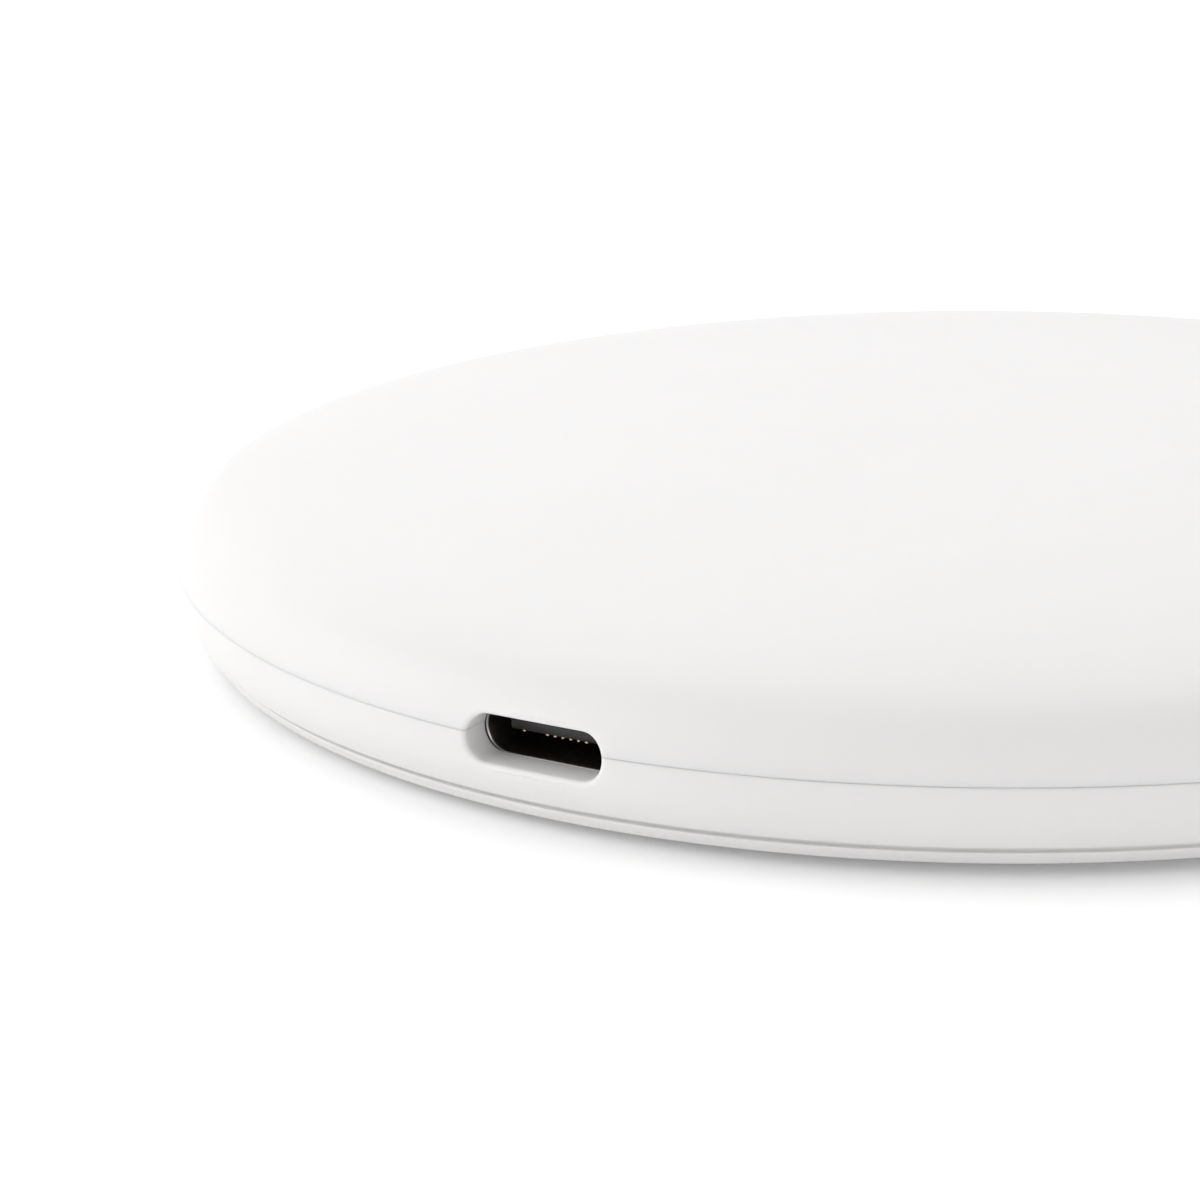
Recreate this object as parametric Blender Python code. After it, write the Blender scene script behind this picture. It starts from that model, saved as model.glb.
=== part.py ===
"""Wireless charging pad, 104 mm across, with a USB-C socket in its side.

Frame: millimetre constants, metres in Blender, +Z up, origin on the floor under the middle.
The socket faces -Y. Angles called "bearing" are measured from the socket, positive towards +X.
"""
import bmesh
import bpy
from math import atan2, cos, degrees, exp, log, pi, radians, sin, sqrt
from mathutils import Matrix, Vector

MM = 0.001

# ---- driving dimensions, in millimetres ----
PAD_RADIUS = 52.0
CROWN_HEIGHT = 11.9
WALL = 1.4
GAP = 0.3             # between neighbouring mouldings and plates
SOLDER_GAP = 0.12     # between a component and the board

# The outline bends from the level crown (90 degrees) round the widest point (0) to the underside.
# Each pair is the direction that the surface faces, in degrees, and the radius of the bend there.
OUTLINE_BENDS = ((90, 860), (82, 71), (72, 7.6), (60, 2.8), (40, 4.2),
                 (16, 5.9), (-12, 3.8), (-35, 6.3), (-70, 15.5))
CROWN_STEP = 2.0      # degrees of turn between outline points on the crown
EDGE_STEP = 9.0       # and round the edge

SEAM_TOP = 5.47
SEAM_BOTTOM = 5.17
LOWER_EDGE = 1.78     # bottom of the lower shell's wall
UNDERSIDE = 2.2       # underside of the lower shell's floor
UNDERSIDE_RADIUS = 50.55
FLOOR_TOP = 2.98      # inside face of the lower shell's floor
LIP_TOP = 6.2         # locating lip that stands inside the upper shell
LIP_WIDTH = 1.0
LIP_LEAN = 0.35       # how far its outer face leans in, to follow the upper shell

BASE_TOP = 1.43       # top of the base plate's lip
BASE_BOTTOM = 0.5
HUB_TOP = 1.9         # raised middle, which closes the groove above the lip
HUB_RADIUS = 50.25
BASE_TOP_RADIUS = 50.7
BASE_FLAT_RADIUS = 48.6
BASE_EDGE_RADIUS, BASE_EDGE_HEIGHT = 50.2, 0.66   # lowest point of the lip
FOOT_INNER, FOOT_OUTER = 39.0, 45.0
FOOT_RECESS_TOP = 0.8
TAPE_INNER, TAPE_OUTER = 22.0, 34.0
TAPE_RECESS = 1.3     # floor of the base plate's recess for the tape
TAPE_MARGIN = 0.5

PORT_Z = 5.11
PORT_WIDTH, PORT_HEIGHT = 8.6, 2.7
COLLAR_HALF, COLLAR_FRONT, COLLAR_BACK = 5.6, -51.0, -50.0   # thicker wall round the port
COLLAR_BOTTOM, COLLAR_TOP = 2.7, 7.0
SOCKET_WIDTH, SOCKET_HEIGHT = 8.94, 3.26
SOCKET_FRONT, SOCKET_BACK = -49.7, -42.65
SOCKET_WALL = 0.3
TONGUE_WIDTH, TONGUE_HALF = 6.69, 0.35
TONGUE_FRONT, TONGUE_ROOT = -48.8, -43.7
LEG_REACH, LEG_THICK, LEG_WIDTH = 6.35, 0.28, 1.1
LEG_PLACES = ((-1, -46.6), (1, -46.6), (-1, -43.7), (1, -43.7))   # side and Y
CONTACT_BACK, CONTACT_THICK = -40.8, 0.1
# places across the tongue, the same in both rows
CONTACT_PLACES = (-2.75, -1.25, -0.75, -0.25, 0.25, 0.75, 1.25, 2.75)

BOARD_BOTTOM, BOARD_TOP = PORT_Z - 0.4, PORT_Z + 0.4
BOARD_INNER, BOARD_OUTER, BOARD_SPREAD = 30.5, 48.0, 42.0
NOTCH_HALF, NOTCH_BACK = 4.85, -42.35
BOARD_SCREWS = ((33.2, -33.0), (33.2, 33.0), (44.5, -20.0), (44.5, 20.0))

SHELL_SCREW_RADIUS = 41.0
SHELL_SCREW_BEARINGS = (54.0, 126.0, 234.0, 306.0)
UPPER_BOSS, UPPER_PILOT, BOSS_TOP, PILOT_TOP = 2.6, 1.25, 9.4, 8.5
LOWER_BOSS, HEAD_WELL, SHANK_HOLE = 3.3, 2.3, 1.3
LOWER_BOSS_TOP, WELL_TOP = 5.12, 3.9
TRAY_POST, TRAY_PILOT, BOARD_POST, BOARD_PILOT = 2.3, 1.1, 1.9, 0.95
POST_FOOT, PILOT_FOOT = 2.6, 2.5   # posts start inside the floor; their pilot holes stop above it
# head radius, shank radius, seat, head height, tip, socket radius
SHELL_SCREW_SIZES = (1.9, 0.95, 3.6, 1.3, 8.1, 0.9)
TRAY_SCREW_SIZES = (1.8, 0.8, 5.95, 1.1, 3.0, 0.8)
BOARD_SCREW_SIZES = (1.5, 0.65, 5.81, 0.9, 3.0, 0.65)
TRAY_RADIUS, TRAY_RIM = 27.0, 1.4
TRAY_BOTTOM, TRAY_TOP, TRAY_RIM_TOP = 4.65, 5.65, 8.3
TRAY_LUG_RADIUS, TRAY_LUG_BEARINGS = 29.4, (75.0, 180.0, 285.0)
TRAY_LUG, TRAY_HOLE = 2.7, 1.25

FERRITE_RADIUS, FERRITE_BOTTOM, FERRITE_TOP = 25.0, 6.45, 7.95
SLOT_LEFT, SLOT_RIGHT, SLOT_START = -1.9, 3.4, -3.5
COIL_Z, COIL_INNER, COIL_PITCH, WIRE = 9.25, 10.25, 1.175, 0.46
COIL_START, COIL_TURNS = -45.0, 9.81
LEAD_IN_X, LEAD_OUT_X, SENSOR_X = -0.8, -4.6, 2.2

SHELL_SEGMENTS, PLATE_SEGMENTS, ROUND_SEGMENTS, HOLE_SEGMENTS = 64, 48, 14, 12

WHITE = ((0.86, 0.855, 0.85), 0.5, 0.0)
SILICONE = ((0.75, 0.75, 0.74), 0.75, 0.0)
STEEL = ((0.62, 0.61, 0.59), 0.3, 1.0)
BLACK_RESIN = ((0.02, 0.02, 0.022), 0.5, 0.0)
GOLD = ((0.85, 0.62, 0.28), 0.3, 1.0)
TAPE = ((0.80, 0.79, 0.74), 0.8, 0.0)
GREY_MOULDING = ((0.09, 0.09, 0.095), 0.55, 0.0)
FERRITE = ((0.07, 0.07, 0.075), 0.6, 0.0)
COPPER = ((0.72, 0.34, 0.18), 0.35, 1.0)
SLEEVE = ((0.78, 0.76, 0.70), 0.5, 0.0)
BOARD_GREEN = ((0.02, 0.14, 0.07), 0.4, 0.0)
CERAMIC = ((0.55, 0.42, 0.30), 0.5, 0.0)
TANTALUM = ((0.60, 0.42, 0.08), 0.45, 0.0)
SOLDER = ((0.70, 0.70, 0.69), 0.25, 1.0)


# ---- outline of the pad ----

def bend_radius(facing):
    """Radius of the bend where the surface faces this many degrees above level."""
    for (high, r_high), (low, r_low) in zip(OUTLINE_BENDS, OUTLINE_BENDS[1:]):
        if facing >= low:
            share = (high - facing) / (high - low)
            return exp(log(r_high) + share * (log(r_low) - log(r_high)))
    return OUTLINE_BENDS[-1][1]


def pad_outline():
    """Points (radius, height, facing) from the crown's middle down to the last bend."""
    fine = 0.25
    points = [(0.0, 0.0, 90.0)]
    facing = 90.0
    while facing > OUTLINE_BENDS[-1][0]:
        middle = facing - fine / 2
        length = bend_radius(middle) * radians(fine)
        r, z, _ = points[-1]
        facing -= fine
        points.append((r + length * sin(radians(middle)), z - length * cos(radians(middle)), facing))
    widest = max(r for r, z, f in points)
    scale = PAD_RADIUS / widest
    return [(r * scale, CROWN_HEIGHT + z * scale, f) for r, z, f in points]


OUTLINE = pad_outline()


def outline_at_height(height):
    """The outline point (radius, height, facing) below the shoulder at this height."""
    for (r0, z0, f0), (r1, z1, f1) in zip(OUTLINE, OUTLINE[1:]):
        if z0 >= height > z1:
            share = (z0 - height) / (z0 - z1)
            return (r0 + share * (r1 - r0), height, f0 + share * (f1 - f0))
    raise ValueError("height is outside the outline")


def outline_stretch(high, low, inset=0.0):
    """Outline points between two heights, moved in by inset; high=None starts at the crown."""
    start = OUTLINE[0] if high is None else outline_at_height(high)
    end = outline_at_height(low)
    picked = [start]
    for point in OUTLINE:
        step = CROWN_STEP if point[2] > 82 else EDGE_STEP
        if point[1] < start[1] and point[1] > end[1] and picked[-1][2] - point[2] >= step:
            picked.append(point)
    if len(picked) > 1 and picked[-1][2] - end[2] < EDGE_STEP / 3:
        picked.pop()
    picked.append(end)
    return [(max(r - inset * cos(radians(f)), 0.0), z - inset * sin(radians(f))) for r, z, f in picked]


# ---- helpers ----

def clear_scene():
    for thing in list(bpy.data.objects):
        bpy.data.objects.remove(thing, do_unlink=True)


def material(name, look):
    colour, roughness, metallic = look
    made = bpy.data.materials.new(name)
    made.use_nodes = True
    shader = made.node_tree.nodes["Principled BSDF"]
    shader.inputs["Base Color"].default_value = (*colour, 1.0)
    shader.inputs["Roughness"].default_value = roughness
    shader.inputs["Metallic"].default_value = metallic
    made.diffuse_color = (*colour, 1.0)
    return made


def finish(bm, name, look=None, smooth=True):
    """Turns a bmesh in millimetres into an object; without a look it is a cutter."""
    bmesh.ops.recalc_face_normals(bm, faces=bm.faces)
    bmesh.ops.scale(bm, vec=(MM, MM, MM), verts=bm.verts)
    mesh = bpy.data.meshes.new(name)
    bm.to_mesh(mesh)
    bm.free()
    piece = bpy.data.objects.new(name, mesh)
    bpy.context.scene.collection.objects.link(piece)
    if look is None:
        piece.hide_render = True
        piece.display_type = "WIRE"
        return piece
    mesh.materials.append(material(name, look))
    if smooth:
        mesh.shade_smooth()
        mesh.set_sharp_from_angle(angle=radians(35))
    return piece


def combine(piece, other, operation):
    """Cuts or joins another object into this one."""
    modifier = piece.modifiers.new(other.name, "BOOLEAN")
    modifier.operation = operation
    modifier.solver = "EXACT"
    modifier.object = other
    other.hide_render = True
    other.display_type = "WIRE"


def polar(radius, bearing):
    """Place at this bearing from the socket's direction, -Y."""
    return (radius * sin(radians(bearing)), -radius * cos(radians(bearing)))


def add_turned(bm, outline, segments, centre=(0.0, 0.0)):
    """Revolves a closed (radius, height) outline about a vertical axis."""
    rings = []
    for radius, height in outline:
        if radius < 1e-6:
            rings.append([bm.verts.new((centre[0], centre[1], height))])
            continue
        turn = [2 * pi * i / segments for i in range(segments)]
        around = [(centre[0] + radius * cos(a), centre[1] + radius * sin(a)) for a in turn]
        rings.append([bm.verts.new((x, y, height)) for x, y in around])
    for ring, following in zip(rings, rings[1:] + rings[:1]):
        if len(ring) == 1 and len(following) == 1:
            continue
        for i in range(segments):
            j = (i + 1) % segments
            corners = [ring[i % len(ring)], ring[j % len(ring)]]
            corners += [following[j % len(following)], following[i % len(following)]]
            bm.faces.new(list(dict.fromkeys(corners)))


def add_loft(bm, rings):
    """Closed solid through rings of equal length, with flat caps."""
    made = [[bm.verts.new(point) for point in ring] for ring in rings]
    for ring, following in zip(made, made[1:]):
        for i in range(len(ring)):
            j = (i + 1) % len(ring)
            bm.faces.new((ring[i], ring[j], following[j], following[i]))
    bm.faces.new(made[0])
    bm.faces.new(made[-1])


def add_prism(bm, outline, bottom, top):
    add_loft(bm, [[(x, y, z) for x, y in outline] for z in (bottom, top)])


def add_block(bm, centre, size, bottom, turn=0.0, chamfer=0.0):
    """Upright block with chamfered upper edges, turned about its own vertical axis."""
    width, depth, height = size
    spin = Matrix.Rotation(radians(turn), 3, "Z")
    rings = []
    for inset, z in ((0.0, bottom), (0.0, bottom + height - chamfer), (chamfer, bottom + height)):
        x, y = width / 2 - inset, depth / 2 - inset
        corners = [spin @ Vector((a * x, b * y, 0.0)) for a, b in ((-1, -1), (1, -1), (1, 1), (-1, 1))]
        rings.append([(centre[0] + c.x, centre[1] + c.y, z) for c in corners])
    if chamfer == 0.0:
        rings.pop()
    add_loft(bm, rings)


def obround(width, height, per_end=10):
    """Outline (x, z) of a slot with round ends."""
    end = height / 2
    reach = width / 2 - end
    half = [pi * i / per_end - pi / 2 for i in range(per_end + 1)]
    right = [(reach + end * cos(a), end * sin(a)) for a in half]
    return right + [(-x, -z) for x, z in right]


def socket_ring(width, height, y, grow=0.0):
    """An obround about the port's centre, standing across Y."""
    return [(x, y, PORT_Z + z) for x, z in obround(width + 2 * grow, height + 2 * grow)]


def smooth_path(points, steps):
    """Catmull-Rom curve through the points."""
    ends = [points[0] * 2 - points[1]] + points + [points[-1] * 2 - points[-2]]
    curve = []
    for a, b, c, d in zip(ends, ends[1:], ends[2:], ends[3:]):
        for i in range(steps):
            t = i / steps
            curve.append(0.5 * (2 * b + (c - a) * t + (2 * a - 5 * b + 4 * c - d) * t * t
                                + (3 * b - a - 3 * c + d) * t ** 3))
    return curve + [points[-1]]


def path_rings(path, half_width, half_height, sides):
    """Rings square to a path, with their flat direction kept level."""
    rings = []
    for i, place in enumerate(path):
        along = (path[min(i + 1, len(path) - 1)] - path[max(i - 1, 0)]).normalized()
        across = along.cross(Vector((0, 0, 1))).normalized()
        upward = across.cross(along)
        turn = [2 * pi * (k + 0.5) / sides for k in range(sides)]
        rings.append([place + across * half_width * cos(a) + upward * half_height * sin(a) for a in turn])
    return rings


def turned(name, look, outline, segments):
    bm = bmesh.new()
    add_turned(bm, outline, segments)
    return finish(bm, name, look)


def ring_outline(inner, outer, bottom, top):
    return [(inner, bottom), (outer, bottom), (outer, top), (inner, top)]


def posts(name, places, radius, bottom, top, segments=ROUND_SEGMENTS):
    """Upright round posts, used to join onto a moulding or to drill it."""
    bm = bmesh.new()
    for x, y in places:
        add_turned(bm, [(0, bottom), (radius, bottom), (radius, top), (0, top)], segments, (x, y))
    return finish(bm, name)


def screws(name, places, head_radius, shank_radius, seat, head_height, tip, socket):
    """One numbered screw at each place, its head beyond the seat, away from the tip."""
    side = 1.0 if tip < seat else -1.0
    head = seat + side * head_height
    outline = [(0, tip), (shank_radius * 0.55, tip), (shank_radius, tip + side * shank_radius)]
    outline += [(shank_radius, seat), (head_radius, seat), (head_radius, head - side * 0.25)]
    floor = head - side * head_height * 0.5
    outline += [(head_radius - 0.25, head), (socket, head), (socket * 0.8, floor), (0, floor)]
    for number, place in enumerate(places, 1):
        bm = bmesh.new()
        add_turned(bm, outline, HOLE_SEGMENTS, place)
        finish(bm, f"{name}_{number}", STEEL)


SHELL_SCREWS = [polar(SHELL_SCREW_RADIUS, bearing) for bearing in SHELL_SCREW_BEARINGS]
TRAY_SCREWS = [polar(TRAY_LUG_RADIUS, bearing) for bearing in TRAY_LUG_BEARINGS]
BOARD_SCREW_PLACES = [polar(radius, bearing) for radius, bearing in BOARD_SCREWS]


# ---- enclosure ----

def port_cutter():
    """Rounded mouth through the side wall, with a pocket behind it for the socket's shell."""
    bm = bmesh.new()
    flare = ((-46.0, 0.0), (-51.45, 0.0), (-51.7, 0.06), (-51.9, 0.2), (-52.3, 0.8))
    add_loft(bm, [socket_ring(PORT_WIDTH, PORT_HEIGHT, y, grow) for y, grow in flare])
    return finish(bm, "port_cutter")


def pocket_cutter():
    """Room for the socket's shell where it enters the wall."""
    front, back = SOCKET_FRONT - GAP, -46.0
    size = (SOCKET_WIDTH + 2 * GAP, back - front, SOCKET_HEIGHT + 2 * GAP)
    bm = bmesh.new()
    add_block(bm, (0, (front + back) / 2), size, PORT_Z - size[2] / 2)
    return finish(bm, "pocket_cutter")


def collar(name, bottom, top, margin=0.0, back=COLLAR_BACK):
    """Block across the inside of the wall, at the port."""
    bm = bmesh.new()
    size = (2 * (COLLAR_HALF + margin), back - COLLAR_FRONT, top - bottom)
    add_block(bm, (0, (COLLAR_FRONT + back) / 2), size, bottom)
    return finish(bm, name)


def upper_shell(port, pocket):
    outside = outline_stretch(None, SEAM_TOP)
    inside = outline_stretch(None, SEAM_TOP, WALL)
    inside[-1] = (inside[-1][0], SEAM_TOP)
    shell = turned("upper_shell", WHITE, outside + inside[::-1], SHELL_SEGMENTS)
    combine(shell, posts("upper_bosses", SHELL_SCREWS, UPPER_BOSS, SEAM_TOP, BOSS_TOP), "UNION")
    pilots = posts("upper_pilots", SHELL_SCREWS, UPPER_PILOT, 4.0, PILOT_TOP, HOLE_SEGMENTS)
    combine(shell, pilots, "DIFFERENCE")
    combine(shell, collar("upper_collar", SEAM_TOP, COLLAR_TOP), "UNION")
    combine(shell, port, "DIFFERENCE")
    combine(shell, pocket, "DIFFERENCE")


def lower_shell(port, pocket):
    floor_edge = outline_at_height(FLOOR_TOP)[0] - WALL - 0.5
    lip_outer = outline_at_height(SEAM_TOP)[0] - WALL - GAP
    lip_inner = lip_outer - LIP_WIDTH
    outline = outline_stretch(SEAM_BOTTOM, LOWER_EDGE)
    outline += [(UNDERSIDE_RADIUS, LOWER_EDGE), (UNDERSIDE_RADIUS, UNDERSIDE), (0, UNDERSIDE), (0, FLOOR_TOP)]
    outline += [(floor_edge, FLOOR_TOP), (lip_inner, FLOOR_TOP + 0.7), (lip_inner, LIP_TOP)]
    outline += [(lip_outer - LIP_LEAN, LIP_TOP), (lip_outer, SEAM_BOTTOM)]
    shell = turned("lower_shell", WHITE, outline, SHELL_SEGMENTS)
    combine(shell, collar("lip_gap", SEAM_BOTTOM, COLLAR_TOP, GAP, -48.5), "DIFFERENCE")
    combine(shell, collar("lower_collar", COLLAR_BOTTOM, SEAM_BOTTOM), "UNION")
    added = (("lower_bosses", SHELL_SCREWS, LOWER_BOSS, POST_FOOT, LOWER_BOSS_TOP),
             ("tray_posts", TRAY_SCREWS, TRAY_POST, POST_FOOT, TRAY_BOTTOM - GAP),
             ("board_posts", BOARD_SCREW_PLACES, BOARD_POST, POST_FOOT, BOARD_BOTTOM - GAP))
    for shape in added:
        combine(shell, posts(*shape), "UNION")
    combine(shell, posts("head_wells", SHELL_SCREWS, HEAD_WELL, 1.0, WELL_TOP), "DIFFERENCE")
    drilled = (("shank_holes", SHELL_SCREWS, SHANK_HOLE, 3.0, 6.0),
               ("tray_pilots", TRAY_SCREWS, TRAY_PILOT, PILOT_FOOT, 6.0),
               ("board_pilots", BOARD_SCREW_PLACES, BOARD_PILOT, PILOT_FOOT, 6.0))
    for shape in drilled:
        combine(shell, posts(*shape, HOLE_SEGMENTS), "DIFFERENCE")
    combine(shell, port, "DIFFERENCE")
    combine(shell, pocket, "DIFFERENCE")


def base_plate():
    """Plate with a leaning lip, a raised hub and recesses for the tape and the foot."""
    inner, outer = TAPE_INNER - TAPE_MARGIN, TAPE_OUTER + TAPE_MARGIN
    outline = [(0, HUB_TOP), (0, BASE_BOTTOM), (FOOT_INNER - GAP, BASE_BOTTOM)]
    outline += [(FOOT_INNER - GAP, FOOT_RECESS_TOP), (FOOT_OUTER + GAP, FOOT_RECESS_TOP)]
    outline += [(FOOT_OUTER + GAP, BASE_BOTTOM), (BASE_FLAT_RADIUS, BASE_BOTTOM)]
    outline += [(BASE_EDGE_RADIUS, BASE_EDGE_HEIGHT), (BASE_EDGE_RADIUS + 0.2, BASE_EDGE_HEIGHT + 0.12)]
    outline += [(BASE_TOP_RADIUS, BASE_TOP - 0.15)]
    outline += [(BASE_TOP_RADIUS - 0.15, BASE_TOP), (HUB_RADIUS, BASE_TOP), (HUB_RADIUS, HUB_TOP)]
    outline += [(outer, HUB_TOP), (outer, TAPE_RECESS), (inner, TAPE_RECESS), (inner, HUB_TOP)]
    turned("base_plate", WHITE, outline, SHELL_SEGMENTS)


def foot_ring():
    top = FOOT_RECESS_TOP - GAP
    edge = 0.12
    outline = [(FOOT_INNER + edge, 0), (FOOT_OUTER - edge, 0), (FOOT_OUTER, edge), (FOOT_OUTER, top)]
    turned("foot_ring", SILICONE, outline + [(FOOT_INNER, top), (FOOT_INNER, edge)], SHELL_SEGMENTS)


def base_adhesive():
    outline = ring_outline(TAPE_INNER, TAPE_OUTER, TAPE_RECESS + GAP, UNDERSIDE - GAP)
    turned("base_adhesive", TAPE, outline, PLATE_SEGMENTS)


def shell_screws():
    screws("shell_screw", SHELL_SCREWS, *SHELL_SCREW_SIZES)


# ---- charging coil ----

def slot_outline(left, right, start, end=-30.0):
    return [(left, end), (right, end), (right, start), (left, start)]


def coil_tray():
    inner = TRAY_RADIUS - TRAY_RIM
    outline = [(0, TRAY_BOTTOM), (TRAY_RADIUS, TRAY_BOTTOM), (TRAY_RADIUS, TRAY_RIM_TOP)]
    outline += [(inner, TRAY_RIM_TOP), (inner, TRAY_TOP), (0, TRAY_TOP)]
    tray = turned("coil_tray", GREY_MOULDING, outline, PLATE_SEGMENTS)
    combine(tray, posts("tray_lugs", TRAY_SCREWS, TRAY_LUG, TRAY_BOTTOM, TRAY_TOP), "UNION")
    combine(tray, posts("tray_holes", TRAY_SCREWS, TRAY_HOLE, 4.0, 7.0, HOLE_SEGMENTS), "DIFFERENCE")
    bm = bmesh.new()
    add_prism(bm, slot_outline(SLOT_LEFT, SLOT_RIGHT, -20.0), TRAY_TOP + 0.3, 9.0)
    combine(tray, finish(bm, "rim_notch"), "DIFFERENCE")


def tray_screws():
    screws("tray_screw", TRAY_SCREWS, *TRAY_SCREW_SIZES)


def ferrite_adhesive():
    bottom, top = TRAY_TOP + GAP, FERRITE_BOTTOM - GAP
    outline = [(0, bottom), (FERRITE_RADIUS - 1, bottom), (FERRITE_RADIUS - 1, top), (0, top)]
    turned("ferrite_adhesive", TAPE, outline, PLATE_SEGMENTS)


def ferrite_plate():
    edge = 0.25
    outline = [(0, FERRITE_BOTTOM), (FERRITE_RADIUS - edge, FERRITE_BOTTOM)]
    outline += [(FERRITE_RADIUS, FERRITE_BOTTOM + edge), (FERRITE_RADIUS, FERRITE_TOP - edge)]
    outline += [(FERRITE_RADIUS - edge, FERRITE_TOP), (0, FERRITE_TOP)]
    plate = turned("ferrite_plate", FERRITE, outline, PLATE_SEGMENTS)
    bm = bmesh.new()
    add_prism(bm, slot_outline(SLOT_LEFT, SLOT_RIGHT, SLOT_START), 6.0, 9.0)
    combine(plate, finish(bm, "ferrite_slot"), "DIFFERENCE")


def coil_adhesive():
    outline = ring_outline(10.9, 22.4, FERRITE_TOP + GAP, COIL_Z - WIRE - GAP)
    tape = turned("coil_adhesive", TAPE, outline, PLATE_SEGMENTS)
    bm = bmesh.new()
    add_prism(bm, slot_outline(SLOT_LEFT, SLOT_RIGHT, -8.0), 8.0, 9.0)
    combine(tape, finish(bm, "tape_slot"), "DIFFERENCE")


def lead_in_points():
    """Inner lead, from the board up through the ferrite's slot to the first turn."""
    x = LEAD_IN_X
    route = ((x + 1.6, -34.4, 6.1), (x + 1.6, -33.0, 6.2), (x + 1.4, -31.4, 6.75), (x + 0.9, -29.8, 7.1))
    route += ((x + 0.2, -28.0, 7.25), (x, -26.0, 7.25), (x, -20.0, 7.25), (x, -14.0, 7.25))
    route += ((x + 0.1, -11.2, 7.4), (x + 0.8, -10.0, 8.0), (x + 2.3, -9.75, 8.75), (x + 4.2, -9.5, 9.15))
    return [Vector(point) for point in route]


def lead_out_points():
    """Outer lead, from the last turn over the tray's rim and down to the board."""
    x = LEAD_OUT_X
    route = ((x - 0.9, -22.4, COIL_Z), (x + 0.1, -24.2, COIL_Z), (x + 0.3, -26.4, COIL_Z - 0.05))
    route += ((x + 0.3, -28.2, 8.7), (x + 0.2, -29.8, 7.5), (x + 0.1, -31.4, 6.75))
    route += ((x, -33.0, 6.2), (x, -34.4, 6.1))
    return [Vector(point) for point in route]


def coil_path(per_turn):
    """Centre line of the whole winding, lead to lead."""
    count = round(COIL_TURNS * per_turn)
    turns = []
    for i in range(count + 1):
        done = COIL_TURNS * i / count
        angle = radians(COIL_START) + 2 * pi * done
        radius = COIL_INNER + COIL_PITCH * done
        turns.append(Vector((radius * cos(angle), radius * sin(angle), COIL_Z)))
    inner = smooth_path(lead_in_points() + [turns[0]], 2)
    outer = smooth_path([turns[-1]] + lead_out_points(), 2)
    return inner[:-1] + turns + outer[1:]


def coil_winding():
    bm = bmesh.new()
    add_loft(bm, path_rings(coil_path(20), WIRE, WIRE, 6))
    finish(bm, "coil_winding", COPPER)


def coil_lead_sleeves():
    """Two open sleeves round the leads where they cross from the tray to the board."""
    for number, points in enumerate((lead_in_points()[2:5], lead_out_points()[3:6]), 1):
        bm = bmesh.new()
        path = smooth_path(points, 3)
        outside = path_rings(path, 0.9, 0.9, 8)
        inside = path_rings(path, 0.62, 0.62, 8)
        rings = [[bm.verts.new(point) for point in ring] for ring in outside + inside[::-1]]
        for ring, following in zip(rings, rings[1:] + rings[:1]):
            for i in range(8):
                j = (i + 1) % 8
                bm.faces.new((ring[i], ring[j], following[j], following[i]))
        finish(bm, f"coil_lead_sleeve_{number}", SLEEVE)


def thermistor():
    """Bead in the middle of the coil, on a twin lead that drops into the ferrite's slot."""
    x = SENSOR_X
    route = ((0.0, 1.0, 9.05), (0.4, -0.8, 9.0), (1.4, -2.6, 8.75), (x, -4.6, 7.9), (x, -6.4, 7.0))
    route += ((x, -9.0, 6.9), (x, -15.0, 6.9), (x, -21.0, 6.9), (x, -27.0, 6.9))
    route += ((x + 0.8, -29.6, 6.5), (x + 1.4, -31.6, 6.0), (x + 1.6, -33.6, 5.95))
    path = smooth_path([Vector(point) for point in route], 2)
    rings = path_rings(path, 0.55, 0.28, 8)
    bead = path_rings([path[0] + Vector((0, 0.35 * i, 0)) for i in (7, 6, 4, 2, 1)], 1.0, 1.0, 8)
    middle = path[0] + Vector((0, 1.4, 0))
    shaped = []
    for ring, size in zip(bead, (0.35, 0.7, 0.88, 0.78, 0.5)):
        centre = sum(ring, Vector()) / len(ring)
        shaped.append([centre + Vector((point.x - centre.x, 0, point.z - centre.z)) * size for point in ring])
    if (shaped[0][0] - middle).x * (rings[0][0] - path[0]).x < 0:
        shaped = [ring[:1] + ring[:0:-1] for ring in shaped]
    bm = bmesh.new()
    add_loft(bm, shaped + rings)
    finish(bm, "thermistor", BLACK_RESIN)


# ---- socket ----

def usb_shell():
    """Seamless metal tube with four legs that hook into the board."""
    bm = bmesh.new()
    outer = [socket_ring(SOCKET_WIDTH, SOCKET_HEIGHT, y) for y in (SOCKET_FRONT, SOCKET_BACK)]
    inner = [socket_ring(SOCKET_WIDTH, SOCKET_HEIGHT, y, -SOCKET_WALL) for y in (SOCKET_BACK, SOCKET_FRONT)]
    rings = [[bm.verts.new(point) for point in ring] for ring in outer + inner]
    for ring, following in zip(rings, rings[1:] + rings[:1]):
        for i in range(len(ring)):
            j = (i + 1) % len(ring)
            bm.faces.new((ring[i], ring[j], following[j], following[i]))
    shell = finish(bm, "usb_shell", STEEL)
    top = PORT_Z + SOCKET_HEIGHT / 2 - 0.1
    inner = LEG_REACH - LEG_THICK
    for number, (side, y) in enumerate(LEG_PLACES):
        bend = [(3.0, top), (3.0, top - LEG_THICK), (inner, top - LEG_THICK), (inner, BOARD_BOTTOM - 0.5)]
        bend += [(LEG_REACH, BOARD_BOTTOM - 0.5), (LEG_REACH, top)]
        bm = bmesh.new()
        add_loft(bm, [[(side * x, y + half, z) for x, z in bend] for half in (-LEG_WIDTH / 2, LEG_WIDTH / 2)])
        combine(shell, finish(bm, f"socket_leg_{number + 1}"), "UNION")


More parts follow.
